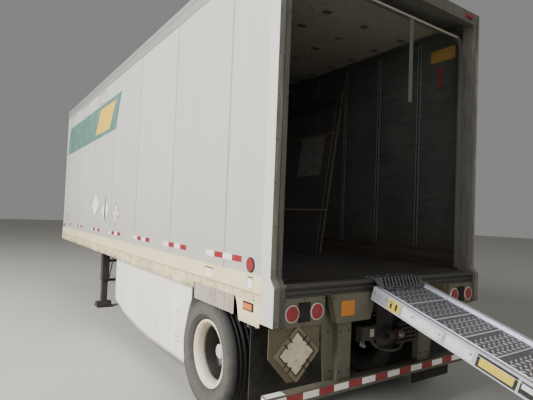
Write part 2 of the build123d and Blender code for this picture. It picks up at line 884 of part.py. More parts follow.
with BuildPart() as springs:
    for side, s in sides:
        with BuildSketch(side_plane(s * spring_spread + spring_width / 2)):
            for leaf, reach in enumerate(leaf_reaches):
                with BuildLine():
                    low = axle_height + axle_radius + seat_gap + leaf_thickness * (len(leaf_reaches) - 1 - leaf)
                    high = low + leaf_sag * (reach / leaf_reaches[0]) ** 2
                    ThreePointArc((axle_place - reach, high), (axle_place, low), (axle_place + reach, high))
                    Line((axle_place + reach, high), (axle_place + reach, high + leaf_thickness))
                    ThreePointArc(
                        (axle_place + reach, high + leaf_thickness),
                        (axle_place, low + leaf_thickness),
                        (axle_place - reach, high + leaf_thickness),
                    )
                    Line((axle_place - reach, high + leaf_thickness), (axle_place - reach, high))
                make_face()
        extrude(amount=spring_width)
        stack_top = axle_height + axle_radius + seat_gap + leaf_thickness * len(leaf_reaches)
        with BuildSketch(level_plane(stack_top - 2.0)):
            with Locations((axle_place, s * spring_spread)):
                Rectangle(2 * clamp_reach + clamp_rod, spring_width + 2 * clamp_rod + 4.0)
        extrude(amount=clamp_plate)
        clamp_low = axle_height - axle_radius - seat_gap - clamp_plate
        with BuildSketch(level_plane(clamp_low)):
            with Locations((axle_place, s * spring_spread)):
                Rectangle(2 * clamp_reach + clamp_rod, spring_width + 2 * clamp_rod + 4.0)
        extrude(amount=clamp_plate)
        with BuildSketch(level_plane(clamp_low)):
            with Locations((axle_place, s * spring_spread)):
                with GridLocations(2 * clamp_reach, spring_width + clamp_rod + 2.0, 2, 2):
                    Rectangle(clamp_rod, clamp_rod)
        extrude(amount=stack_top - clamp_low)
save(springs, "leaf_springs")

# Air brake chambers on the axle, and the air tank under the floor
with BuildPart() as chambers:
    for side, s in sides:
        with BuildSketch(cross_plane(axle_place + axle_radius + 40.0, s)):
            with Locations((360.0, axle_height + 30.0)):
                Circle(chamber_radius)
        extrude(amount=s * 250.0)
        with BuildSketch(cross_plane(axle_place + axle_radius + 0.3, s)):
            with Locations((360.0, axle_height + 30.0)):
                Rectangle(60.0, 60.0)
        extrude(amount=s * 50.0)
save(chambers, "brake_chambers")

tank_place = first_beam + tank_beam_index * beam_pitch
with BuildPart() as tank:
    with BuildSketch(side_plane(tank_length / 2)):
        with Locations((tank_place, beam_bottom - tank_radius - 12.0)):
            Circle(tank_radius)
    extrude(amount=tank_length)
    chamfer(tank.edges().filter_by(GeomType.CIRCLE), 30.0)
    for y in (-200.0, 200.0):
        with BuildSketch(side_plane(y + 20.0)):
            with Locations((tank_place, beam_bottom - 35.0)):
                Rectangle(120.0, 70.0)
        extrude(amount=40.0)
save(tank, "air_tank")

# Skirts, arch panels and rear gussets hang inside the rail line
with BuildPart() as skirts:
    with BuildSketch(side_plane(skirt_y + skirt_thickness)):
        with BuildLine():
            Polyline(
                (skirt_front, beam_bottom),
                (skirt_rear + 25.0, beam_bottom),
                (skirt_rear + 25.0, rail_bottom - 115.0),
                (skirt_rear, rail_bottom - 355.0),
                (skirt_rear, skirt_bottom),
                (skirt_bend, skirt_bottom - 10.0),
            )
            Spline(
                (skirt_bend, skirt_bottom - 10.0),
                (skirt_sweep, skirt_bottom + 75.0),
                (skirt_front, skirt_bottom + 190.0),
                tangents=((1, 0), (0.75, 0.65)),
            )
            Line((skirt_front, skirt_bottom + 190.0), (skirt_front, beam_bottom))
        make_face()
    extrude(amount=2 * (skirt_y + skirt_thickness))
    # The plan keeps a thin wall a side, folded inward at its front, and a row of struts
    with BuildSketch(level_plane(skirt_bottom - 20.0)) as skirt_plan:
        for side, s in sides:
            with BuildLine():
                Polyline(
                    (skirt_rear, s * skirt_y),
                    (skirt_rear, s * (skirt_y + skirt_thickness)),
                    (skirt_fold, s * (skirt_y + skirt_thickness)),
                    (skirt_front, s * (skirt_y + skirt_thickness - skirt_fold_depth)),
                    (skirt_front, s * (skirt_y - skirt_fold_depth)),
                    (skirt_fold, s * skirt_y),
                    close=True,
                )
            make_face()
            for place in skirt_strut_places:
                with Locations((place, s * (skirt_y - skirt_strut_side / 2))):
                    Rectangle(skirt_strut_side, skirt_strut_side)
    extrude(amount=beam_bottom - skirt_bottom + 20.0, mode=Mode.INTERSECT)
save(skirts, "side_skirts")

plate_y = half_width - rail_wall
with BuildPart() as arches:
    for side, s in sides:
        with BuildSketch(side_plane(s * plate_y)):
            for rear, front in ((arch_rear, 700.0), (702.0, 905.0), (907.0, arch_front)):
                with Locations(((rear + front) / 2, (arch_bottom + rail_bottom_rear) / 2)):
                    Rectangle(front - rear, rail_bottom_rear - arch_bottom)
            with BuildLine():
                Polyline(
                    (post_depth + 6.0, gusset_bottom),
                    (422.0, gusset_bottom),
                    (453.0, gusset_bottom + 120.0),
                    (482.0, rail_bottom_rear),
                    (post_depth + 6.0, rail_bottom_rear),
                    close=True,
                )
            make_face()
        extrude(amount=s * plate_thickness)
save(arches, "arch_panels")

with BuildPart() as flaps:
    for side, s in sides:
        with BuildSketch(cross_plane(255.0)):
            with Locations((s * flap_middle, (flap_bottom + flap_top) / 2)):
                Rectangle(flap_width, flap_top - flap_bottom)
        extrude(amount=10.0)
save(flaps, "mud_flaps")
with BuildPart() as flap_brackets:
    for side, s in sides:
        with BuildSketch(cross_plane(265.3)):
            with Locations((s * (bracket_inner + plate_y - plate_thickness) / 2, flap_top - 5.0)):
                Rectangle(plate_y - plate_thickness - bracket_inner, bracket_height)
        extrude(amount=35.0)
save(flap_brackets, "flap_brackets")

# Underride guard: a square tube on two tapered hat-section posts
with BuildPart() as guard:
    with BuildSketch(side_plane(guard_half_width)):
        with Locations((guard_tube / 2, guard_bottom + guard_tube / 2)):
            RectangleRounded(guard_tube, guard_tube, 8.0)
    extrude(amount=2 * guard_half_width)
    for side, s in sides:
        with BuildSketch(cross_plane(guard_tube - guard_post_flange)):
            with BuildLine():
                Polyline(
                    (s * guard_post_fold, guard_bottom + guard_tube),
                    (s * guard_post_fold, sill_bottom),
                    (s * guard_post_outer, sill_bottom),
                    (s * (guard_post_outer - guard_post_taper), guard_bottom + guard_tube),
                    close=True,
                )
            make_face()
        extrude(amount=guard_post_flange)
        with BuildSketch(cross_plane(guard_tube - guard_post_depth)):
            with Locations((s * (guard_post_inner + guard_post_fold) / 2, (guard_bottom + guard_tube + sill_bottom) / 2)):
                Rectangle(guard_post_fold - guard_post_inner, sill_bottom - guard_bottom - guard_tube)
        extrude(amount=guard_post_depth)
save(guard, "underride_guard")

# Lamp boxes under the sill, with round tail lamps
with BuildPart() as lamp_box:
    for side, s in sides:
        with BuildSketch(cross_plane(-40.0)):
            with Locations((s * (lamp_panel_inner + post_inner) / 2, sill_bottom - lamp_panel_height / 2)):
                Rectangle(post_inner - lamp_panel_inner, lamp_panel_height)
        extrude(amount=25.0)
    with BuildSketch(cross_plane(-38.0)):
        with BuildLine():
            Polyline(*[(y, sill_bottom + drop) for y, drop in centre_box_outline], close=True)
        make_face()
    extrude(amount=60.0)
save(lamp_box, "lamp_panels")
with BuildPart() as lamps:
    for y in lamp_places:
        with BuildSketch(cross_plane(-40.0)):
            with Locations((y, lamp_height)):
                Circle(lamp_radius)
        extrude(amount=-14.0)
save(lamps, "tail_lamps")

# Marker lamps: a red and an amber one low on each rear corner, one at each front corner, and a row on the header
marker_thickness = rail_proud - 0.5
with BuildPart() as markers:
    for side, s in sides:
        with BuildSketch(side_plane(s * skin_y)):
            with Locations((274.0, rail_top + 66.0)):
                Circle(50.0)
            with Locations((wall_front - 130.0, rail_top + 66.0)):
                Rectangle(100.0, 45.0)
        extrude(amount=-s * marker_thickness)
        with BuildSketch(side_plane(s * plate_y)):
            with Locations((283.0, gusset_bottom + 130.0)):
                Rectangle(133.0, 50.0)
        extrude(amount=-s * rail_wall)
    with BuildSketch(cross_plane(0.0)):
        for y in (-1100.0, -300.0, 0.0, 300.0, 1100.0):
            with Locations((y, (header_bottom + roof_height) / 2)):
                Rectangle(100.0, 32.0)
    extrude(amount=-18.0)
save(markers, "marker_lamps")

# Pintle hook on its drop plate, with the boxes and the ribbed block that the same plate carries
hook_rear = pintle_plate_place - 95.0
with BuildPart() as pintle:
    with BuildSketch(cross_plane(pintle_plate_place)):
        with Locations((-10.0, (pintle_plate_bottom + sill_bottom) / 2)):
            Rectangle(220.0, sill_bottom - pintle_plate_bottom)
        with Locations((-30.0, pintle_height + 25.0)):
            Rectangle(740.0, 130.0)
    extrude(amount=pintle_plate_thickness)
    with BuildSketch(side_plane(20.0)):
        with Locations((hook_rear + 45.0, pintle_height)):
            Circle(48.0)
        with Locations((pintle_plate_place - 20.0, pintle_height)):
            Rectangle(40.0, 96.0)
        with Locations((hook_rear + 45.0, pintle_height + 6.0)):
            Circle(26.0, mode=Mode.SUBTRACT)
        with Locations((hook_rear + 38.0, pintle_height + 40.0)):
            Rectangle(30.0, 30.0, mode=Mode.SUBTRACT)
    extrude(amount=50.0)
    # Columns: middle Y, middle height over the hook, width, height, depth rearward
    for y, lift, width, height, depth in (
        (292.0, 40.0, 88.0, 110.0, 55.0),
        (200.0, 25.0, 76.0, 120.0, 40.0),
        (-267.0, -8.0, 262.0, 196.0, 30.0),
    ):
        with BuildSketch(cross_plane(pintle_plate_place)):
            with Locations((y, pintle_height + lift)):
                Rectangle(width, height)
        extrude(amount=-depth)
    with BuildSketch(cross_plane(pintle_plate_place - 30.0)):
        with Locations((-267.0, pintle_height - 8.0)):
            with GridLocations(1.0, 38.0, 1, 5):
                Rectangle(262.0, 16.0)
    extrude(amount=-18.0)
save(pintle, "pintle_mount")

# Air and lamp line sockets on the nose, over the bottom rail
with BuildPart() as sockets:
    with BuildSketch(cross_plane(trailer_length - rail_proud)):
        with Locations((0, rail_top + 110.0)):
            Rectangle(360.0, 150.0)
    extrude(amount=4.0)
    with BuildSketch(cross_plane(trailer_length - rail_proud + 4.0)):
        for y in (-120.0, 0.0, 120.0):
            with Locations((y, rail_top + 110.0)):
                Rectangle(60.0, 60.0)
    extrude(amount=rail_proud - 4.5)
save(sockets, "nose_sockets")

# Rear placard holder on its backing plate
with BuildPart() as placard_back:
    with BuildSketch(cross_plane(0.0)):
        with BuildLine():
            Polyline(
                (placard_y - 200.0, sill_bottom),
                (placard_y - 200.0, sill_bottom - lamp_panel_height),
                (placard_y - 220.0, sill_bottom - lamp_panel_height),
                (placard_y - 220.0, placard_height - 8.0),
                (placard_y - 10.0, placard_height - 202.0),
                (placard_y + 80.0, placard_height - 202.0),
                (placard_y + 255.0, placard_height - 8.0),
                (placard_y + 255.0, sill_bottom - lamp_panel_height),
                (placard_y + 150.0, sill_bottom - lamp_panel_height),
                (placard_y + 150.0, sill_bottom),
                close=True,
            )
        make_face()
    extrude(amount=6.0)
save(placard_back, "placard_back")
with BuildPart() as placard:
    with BuildSketch(cross_plane(0.0)):
        with Locations(Location((placard_y, placard_height), 45.0)):
            RectangleRounded(placard_side, placard_side, 15.0)
            Rectangle(placard_side - 38.0, placard_side - 38.0, mode=Mode.SUBTRACT)
    extrude(amount=-12.0)
    with BuildSketch(cross_plane(0.0)):
        with Locations(Location((placard_y, placard_height), 45.0)):
            Rectangle(placard_side - 36.0, placard_side - 36.0)
    extrude(amount=-5.0)
save(placard, "placard_holder")

# Walk ramp: two channel beams with cross planks between, hinged to an apron on the sill
slope = radians(ramp_angle)
ramp_down = (-cos(slope), 0, -sin(slope))
half_ramp = ramp_width / 2


def ramp_side_plane(y):
    """The ramp's side plane, with X down the slope from the hinge and Y out of the deck."""
    return Plane(origin=(rear_x - ramp_drop_x, y, ramp_hinge_height), x_dir=ramp_down, z_dir=(0, 1, 0))


def below_ground():
    """The ground's section under the ramp's foot, in a plane along the trailer."""
    with BuildSketch() as section:
        with Locations((-ramp_reach, -300.0)):
            Rectangle(3000.0, 600.0)
    return section.sketch


with BuildPart() as ramp_beams:
    for side, s in sides:
        with BuildSketch(ramp_side_plane(s * half_ramp)):
            with Locations(((ramp_length - ramp_beam_start) / 2, -ramp_beam_height / 2)):
                Rectangle(ramp_length + ramp_beam_start, ramp_beam_height)
        extrude(amount=-s * ramp_beam_flange)
        with BuildSketch(ramp_side_plane(s * (half_ramp - ramp_beam_wall))):
            with Locations(((ramp_length - ramp_beam_start) / 2, -ramp_beam_height / 2)):
                Rectangle(ramp_length + ramp_beam_start + 2.0, ramp_beam_height - 2 * ramp_beam_wall)
        extrude(amount=-s * ramp_beam_flange, mode=Mode.SUBTRACT)
    with BuildSketch(side_plane(half_ramp)):
        add(below_ground())
    extrude(amount=ramp_width, mode=Mode.SUBTRACT)
save(ramp_beams, "ramp_beams")

# Planks: open extrusions with three legs, the last one bevelled to the ground
plank_half = half_ramp - ramp_beam_wall - 0.3
plank_top = -ramp_deck_recess
plank_count = int(ramp_length // ramp_plank_pitch)
with BuildPart() as ramp_planks:
    for index in range(plank_count + 1):
        start = max(index * ramp_plank_pitch + ramp_plank_gap / 2, ramp_first_plank)
        end = min((index + 1) * ramp_plank_pitch - ramp_plank_gap / 2, ramp_length - 1.0)
        with BuildSketch(ramp_side_plane(-plank_half)):
            with Locations(((start + end) / 2, plank_top - ramp_plank_skin / 2)):
                Rectangle(end - start, ramp_plank_skin)
            for leg in (start + 3.0, (start + end) / 2, end - 3.0):
                with Locations((leg, plank_top - ramp_plank_depth / 2)):
                    Rectangle(6.0, ramp_plank_depth)
        extrude(amount=2 * plank_half)
    with BuildSketch(ramp_side_plane(-plank_half)):
        with Locations((0, -ramp_pin_drop)):
            Circle(ramp_pin_radius)
    extrude(amount=2 * plank_half)
    for y in (-1.5 * knuckle_length, 1.5 * knuckle_length):
        with BuildSketch(ramp_side_plane(y - knuckle_length / 2)):
            with BuildLine():
                Polyline(
                    (0, -ramp_pin_drop - 5.0),
                    (0, -ramp_pin_drop + 3.0),
                    (ramp_first_plank + 15.0, plank_top + 3.0),
                    (ramp_first_plank + 15.0, plank_top - 3.0),
                    (ramp_first_plank, plank_top - 4.0),
                    close=True,
                )
            make_face()
        extrude(amount=knuckle_length)
    with BuildSketch(side_plane(half_ramp)):
        add(below_ground())
    extrude(amount=ramp_width, mode=Mode.SUBTRACT)
save(ramp_planks, "ramp_planks")

# Apron plate that bridges from the floor to the ramp, with its hinge eyes
with BuildPart() as apron:
    apron_half = half_ramp - ramp_beam_flange - 5.0
    pin_place = -ramp_drop_x + ramp_pin_drop * sin(slope)
    pin_height = ramp_hinge_height - ramp_pin_drop * cos(slope)
    with BuildSketch(side_plane(apron_half)):
        with BuildLine():
            Polyline(
                (apron_inside, floor_height),
                (-sill_reach - 6.0, floor_height),
                (pin_place + 4.0, pin_height + 8.0),
                (pin_place, pin_height + 14.0),
                (-sill_reach - 3.0, floor_height + apron_thickness),
                (apron_inside - 15.0, floor_height + apron_thickness),
                close=True,
            )
        make_face()
    extrude(amount=2 * apron_half)
    slot_place = (pin_place - sill_reach) / 2
    with BuildSketch(level_plane(ramp_hinge_height)):
        with Locations((slot_place, 0)):
            with GridLocations(1.0, apron_slot_pitch, 1, apron_slots):
                Rectangle(apron_slot_width, apron_slot_length)
    extrude(amount=floor_height, mode=Mode.SUBTRACT)
    for y in (-3 * knuckle_length, 0, 3 * knuckle_length):
        with BuildSketch(side_plane(y + knuckle_length / 2)):
            with Locations((pin_place, pin_height)):
                Circle(knuckle_radius)
        extrude(amount=knuckle_length)
    with BuildSketch(side_plane(apron_half)):
        with Locations((pin_place, pin_height)):
            Circle(knuckle_bore)
    extrude(amount=2 * apron_half, mode=Mode.SUBTRACT)
save(apron, "ramp_apron")
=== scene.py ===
import json
from math import asin, cos, radians, sin, tau

import bmesh
import bpy
from bpy.props import FloatProperty, FloatVectorProperty, IntProperty, PointerProperty, StringProperty
from mathutils import Matrix, Vector

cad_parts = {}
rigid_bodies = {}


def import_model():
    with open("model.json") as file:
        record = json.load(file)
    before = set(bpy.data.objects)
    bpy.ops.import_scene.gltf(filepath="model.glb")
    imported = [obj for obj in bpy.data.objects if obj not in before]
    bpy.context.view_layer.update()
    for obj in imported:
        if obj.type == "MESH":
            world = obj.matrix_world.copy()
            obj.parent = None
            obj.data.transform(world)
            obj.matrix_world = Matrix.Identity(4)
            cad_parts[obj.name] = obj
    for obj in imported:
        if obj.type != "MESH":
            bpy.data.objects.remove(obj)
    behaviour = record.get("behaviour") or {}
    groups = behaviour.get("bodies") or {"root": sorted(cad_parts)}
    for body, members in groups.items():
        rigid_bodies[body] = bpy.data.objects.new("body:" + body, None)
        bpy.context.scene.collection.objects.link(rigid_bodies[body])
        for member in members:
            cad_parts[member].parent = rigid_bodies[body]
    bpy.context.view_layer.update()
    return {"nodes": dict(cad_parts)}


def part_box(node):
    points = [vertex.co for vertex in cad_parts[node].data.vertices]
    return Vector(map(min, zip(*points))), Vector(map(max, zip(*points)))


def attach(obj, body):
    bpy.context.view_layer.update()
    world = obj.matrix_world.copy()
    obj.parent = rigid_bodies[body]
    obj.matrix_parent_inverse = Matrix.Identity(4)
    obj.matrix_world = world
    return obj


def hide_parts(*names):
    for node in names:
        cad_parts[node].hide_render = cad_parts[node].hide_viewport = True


bl_info = {
    "name": "Van trailer finish",
    "version": (1, 0, 0),
    "blender": (4, 5, 0),
    "location": "View3D > Sidebar > Van trailer",
    "description": "Finishes a single-axle van trailer with its walk ramp: paint, tape, lamps, tread and wear",
    "category": "Object",
}

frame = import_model()
NODES = frame["nodes"]

# Places that the frame gives, in metres
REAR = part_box("rear_header")[0].x
HALF_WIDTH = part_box("bottom_rails")[1].y
POST_LINER, SKIN = (corner.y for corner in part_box("side_wall_left"))
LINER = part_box("scuff_boards")[1].y
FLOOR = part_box("floor_deck")[1].z
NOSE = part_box("nose_bottom_rail")[1].x
RAIL_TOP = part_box("bottom_rails")[1].z
RAIL_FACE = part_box("rear_posts")[1].y
TOP_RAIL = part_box("top_rails")[0].z
ARCH_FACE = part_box("arch_panels")[1].y
GUARD_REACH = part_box("underride_guard")[1].y
RAMP_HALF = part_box("ramp_beams")[1].y
AXLE = (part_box("hub_left")[0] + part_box("hub_left")[1]) / 2

# Places on the trailer that the frame's boxes don't give
PANEL = 1.2192
SEAMS = [0.7 + PANEL * i for i in range(7)]
ARCH_SEAMS = (0.662, 0.818)
LEDGE = 1.18
TAPE_GAP = 0.069
MARKER_HEIGHT = RAIL_TOP + 0.066
NOSE_MARKER = 8.199
GUSSET_MARKER = (0.283, 1.063)
GUARD_TOP = 0.46
LAMP_PLACES = (1.118, 0.882, -0.882, -1.118)
LAMP_FACE = -0.04
LAMP_HEIGHT = 1.056
TYRE_PLACES = (1.1395, 0.7965)
DISC_FACE = 0.977
HUB_STEP = 1.078
HOLE_CIRCLE = 0.188
HOLE_RADII = (0.170, 0.176, 0.200, 0.206)
HOLE_TURN = radians(36)
WHEEL_STEPS = 120
SIDES = (("left", 1), ("right", -1))
# How far a plate reaches into what carries it, and half the width of a hard edge between two paints
SINK = 0.0004
HARD = 0.00001

# The ramp's hinge and its slope, as the frame has them
RAMP_LENGTH = 4.064
PLANK = 0.24
DECK = -0.018
RAMP_HINGE = Vector((REAR - 0.15, 0, 1.205))
RAMP_SLOPE = asin((RAMP_HINGE.z - 0.012) / RAMP_LENGTH)
RAMP_DOWN = Vector((-cos(RAMP_SLOPE), 0, -sin(RAMP_SLOPE)))
RAMP_OUT = Vector((-sin(RAMP_SLOPE), 0, cos(RAMP_SLOPE)))

# Width of the photo in pixels, for the focal length of the camera
PHOTO_WIDTH = 533

MATH = "ShaderNodeMath"
RANGE = "ShaderNodeMapRange"
NOISE = "ShaderNodeTexNoise"
REARWARD = (-1, 0, 0)


def linear(hex_colour, share=1.0):
    """An sRGB hex colour, or a darker share of it, as linear red, green, blue and alpha."""
    parts = [int(hex_colour[i:i + 2], 16) / 255 for i in (1, 3, 5)]
    return [share * (p / 12.92 if p <= 0.04045 else ((p + 0.055) / 1.055) ** 2.4) for p in parts] + [1.0]


def fill(tree, node, sockets):
    """Gives a node's sockets their values or links."""
    for key, value in sockets.items():
        if isinstance(value, bpy.types.NodeSocket):
            tree.links.new(value, node.inputs[key])
        else:
            node.inputs[key].default_value = value


def add(tree, kind, sockets=None, **settings):
    """Adds a node with its settings and fills its sockets."""
    made = tree.nodes.new(kind)
    for key, value in settings.items():
        setattr(made, key, value)
    fill(tree, made, sockets or {})
    return made


def past(value, limit, soft=HARD):
    """A mask that rises from 0 to 1 as a value passes a limit; it falls if 'soft' is negative."""
    return value, limit - soft, limit + soft


class Finish:
    """A material while it is made: its nodes, and the object coordinates that its patterns use."""

    def __init__(self, name):
        self.material = bpy.data.materials.new(name)
        self.material.use_nodes = True
        self.tree = self.material.node_tree
        self.shader = self.tree.nodes["Principled BSDF"]
        self.where = add(self.tree, "ShaderNodeTexCoord").outputs["Object"]
        self.x, self.y, self.z = add(self.tree, "ShaderNodeSeparateXYZ", {0: self.where}).outputs
        self.aside = self.out(MATH, {0: self.y}, operation="ABSOLUTE")

    def out(self, kind, sockets, **settings):
        """Adds a node and gives its first output."""
        return add(self.tree, kind, sockets, **settings).outputs[0]

    def patches(self, size, low, high, detail=4.0, stretch=(1, 1, 1), seed=0.0):
        """Soft patches of one size in metres, 0 to 1; 'low' and 'high' set how much they cover."""
        shift = (seed, seed * 1.7, seed * 0.6)
        place = self.out("ShaderNodeMapping", {"Vector": self.where, "Scale": stretch, "Location": shift})
        noise = self.out(NOISE, {"Vector": place, "Scale": 1 / size, "Detail": detail, "Roughness": 0.62})
        return self.out(RANGE, {0: noise, 1: low, 2: high}, clamp=True)

    def grain(self, size, detail=2.0):
        """An even grain of one size in metres, for the relief."""
        return self.out(NOISE, {"Vector": self.where, "Scale": 1 / size, "Detail": detail})

    def within(self, *masks):
        """One factor from several: numbers, sockets, or a value with the limits where it gives 0 and 1."""
        factor = 1.0
        for mask in masks:
            if isinstance(mask, tuple):
                mask = self.out(RANGE, {0: mask[0], 1: mask[1], 2: mask[2]}, clamp=True)
            factor = mask if factor == 1.0 else self.out(MATH, {0: factor, 1: mask}, operation="MULTIPLY")
        return factor

    def band(self, value, low, high, soft):
        """1 where a value lies between two limits, with soft edges."""
        return self.within(past(value, low, soft), past(value, high, -soft))

    def boards(self, value):
        """The number of the board or sheet that a value falls in, as a random tone, and the place across it."""
        number = self.out(MATH, {0: value}, operation="FLOOR")
        tone = self.out("ShaderNodeTexWhiteNoise", {"W": number}, noise_dimensions="1D")
        return tone, self.out(MATH, {0: value}, operation="FRACT")

    def coats(self, base, *layers):
        """A base with coats over it; each has a colour and the amounts and masks that it lies within."""
        colour = linear(base) if isinstance(base, str) else base
        for top, *masks in layers:
            top = linear(top) if isinstance(top, str) else top
            sockets = {0: self.within(*masks), 6: colour, 7: top}
            colour = add(self.tree, "ShaderNodeMix", sockets, data_type="RGBA").outputs[2]
        return colour

    def close(self, colour, roughness, bump=None, depth=0.0006, strength=0.6, metallic=0.0, coat=0.0):
        """Fills the shader's own sockets and gives the material."""
        sockets = {"Base Color": colour, "Roughness": roughness, "Metallic": metallic, "Coat Weight": coat}
        if bump is not None:
            sockets["Normal"] = self.out("ShaderNodeBump", {"Height": bump, "Distance": depth, "Strength": strength})
        fill(self.tree, self.shader, sockets)
        return self.material


def weathered(name, base, dirt, rust, dirt_amount=0.5, rust_amount=0.3, roughness=0.5, metallic=0.0, grain=0.012):
    """A coated metal that has stood outside: tone patches, streaks, road dirt from below and rust in spots."""
    f = Finish(name)
    broad = f.patches(0.5, 0.35, 0.7, seed=3.1)
    streak = f.patches(0.06, 0.52, 0.78, stretch=(1, 1, 0.12), seed=1.3)
    film = f.patches(0.16, 0.25, 0.7, seed=5.0)
    blots = f.patches(0.035, 0.63, 0.72, detail=6.0, seed=7.7)
    region = f.patches(0.35, 0.45, 0.65, seed=9.2)
    colour = f.coats(
        base, (linear(base, 0.86), broad), (dirt, 0.55 * dirt_amount, streak),
        (dirt, dirt_amount, film, (f.z, 1.3, 0.25)), (rust, rust_amount, blots, region),
    )
    rough = f.out(RANGE, {0: broad, 3: roughness - 0.08, 4: roughness + 0.12})
    return f.close(colour, rough, f.grain(grain, 3.0), metallic=metallic)


def make_post_paint(settings):
    """Worn enamel: chalky and light on the outer sides; on the rear and inside a darker copy that is painted shade,
    with road film.
    """
    f = Finish("worn enamel on steel post")
    grime = f.patches(0.05, 0.35, 0.75, stretch=(1, 1, 0.15), seed=2.2)
    worn = f.patches(0.02, 0.6, 0.7, detail=6.0, seed=6.1)
    light = f.coats(settings.lit_post_colour, ("#a9a798", 0.25, grime), ("#6e5a45", 0.3, worn))
    # The darker copy is painted shade on the rear and inner faces, deeper on the inboard part and at the header; grime,
    # chips and road film lie over it
    dark = f.coats(
        settings.shaded_frame_colour, ("#3d3931", 0.7, grime), ("#8f8a7c", 0.5, worn), ("#3a342b", 0.45, (f.z, 1.35, 0.95)),
        ("#3b3a35", 0.6, past(f.aside, RAIL_FACE - 0.055, -HARD), (f.z, TOP_RAIL, TOP_RAIL - 0.5)),
        ("#454237", 0.55, (f.z, TOP_RAIL - 0.15, TOP_RAIL + 0.02)),
    )
    # Lit paint where the post's outer side faces out, painted shade on every other face
    return f.close(f.coats(dark, (light, past(f.aside, RAIL_FACE - 0.0015))), 0.52, grime, depth=0.0005)


def make_rail(settings):
    """Enamelled steel: cream, with a painted shadow line under the ledge, grime below it, rust dots and road dirt along
    the foot.
    """
    f = Finish("enamelled steel rail")
    grime = f.patches(0.12, 0.35, 0.7, detail=6.0, stretch=(0.5, 1, 1), seed=5.0)
    dots = f.patches(0.016, 0.64, 0.70, detail=3.0, seed=7.7)
    below = f.within(past(f.z, LEDGE, -0.002))
    colour = f.coats(
        settings.rail_colour, ("#d8c7a4", 0.5, f.patches(0.5, 0.35, 0.7, seed=3.1)), ("#8d7c62", 0.5, below, grime),
        ("#6a5c48", 0.6, (f.z, 1.125, 1.065), grime), ("#6b4a2c", 0.75, dots, below),
        # A painted shadow line under the ledge
        ("#75684f", 0.55, f.band(f.z, LEDGE - 0.010, LEDGE + 0.001, 0.0015)),
    )
    return f.close(colour, 0.42, dots, depth=0.0004)


def make_arch(settings):
    """Cream enamel on the gusset; the wheel arch sheet ahead of it is greyer, with dark lap seams."""
    f = Finish("enamelled and bare arch sheet")
    broad = f.patches(0.2, 0.35, 0.7, seed=3.1)
    streak = f.patches(0.03, 0.45, 0.7, stretch=(1, 1, 0.15), seed=1.3)
    seams = [("#574e44", 0.7, f.band(f.x, REAR + p - 0.004, REAR + p + 0.004, 0.002)) for p in ARCH_SEAMS]
    cream = f.coats(settings.rail_colour, ("#cdbf9f", 0.5, broad))
    bare = f.coats("#b9ada0", ("#a2968a", broad), ("#7f7468", 0.45, streak), *seams)
    colour = f.coats(cream, (bare, past(f.x, REAR + 0.48)), ("#6a5c48", 0.3, (f.z, 1.0, 0.9)))
    return f.close(colour, 0.5, streak, depth=0.0005)


def make_rim():
    """Cream wheel enamel on flange and barrel; deep in the dish, towards the disc, a near-black painted shade with some
    brake dust.
    """
    f = Finish("cream enamelled wheel")
    dusty = f.patches(0.05, 0.35, 0.75, detail=6.0, seed=5.0)
    rust = f.patches(0.012, 0.64, 0.72, detail=6.0, seed=7.7)
    painted_dish_shade = (f.aside, DISC_FACE + 0.235, DISC_FACE + 0.17)
    # The near-black coat deep in the dish is painted shade, with some brake dust
    colour = f.coats("#efe3c8", ("#b39c78", 0.35, dusty), ("#15120e", painted_dish_shade), ("#6a4226", 0.6, rust))
    return f.close(colour, 0.45, dusty, depth=0.0004)


def make_hub():
    """Cast iron dark with brake dust; the cap at its end is scuffed light grey."""
    f = Finish("cast iron with aluminium cap")
    dusty = f.patches(0.03, 0.35, 0.75, detail=6.0, seed=5.0)
    cap = f.coats("#d2cbbb", ("#8f8675", 0.5, dusty))
    colour = f.coats("#3c3833", ("#57493a", dusty), (cap, past(f.aside, HUB_STEP - 0.006)))
    return f.close(colour, 0.55, dusty, depth=0.0005)


def make_placard():
    """Enamelled aluminium: a pale plate in a holder whose folded edge is dark with road film."""
    f = Finish("dirty enamelled aluminium")
    low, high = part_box("placard_holder")
    sizes = []
    for part, middle in ((f.y, (low.y + high.y) / 2), (f.z, (low.z + high.z) / 2)):
        offset = f.out(MATH, {0: part, 1: middle}, operation="SUBTRACT")
        sizes.append(f.out(MATH, {0: offset}, operation="ABSOLUTE"))
    reach = f.out(MATH, {0: sizes[0], 1: sizes[1]}, operation="ADD")
    worn = f.patches(0.04, 0.45, 0.7, detail=6.0, seed=4.0)
    edge = f.coats("#6d6450", ("#8d8269", 0.6, worn))
    colour = f.coats("#d9ceb4", ("#a5967a", 0.6, worn), (edge, past(reach, (high.y - low.y) / 2 - 0.034)))
    return f.close(colour, 0.5, worn, depth=0.0004)


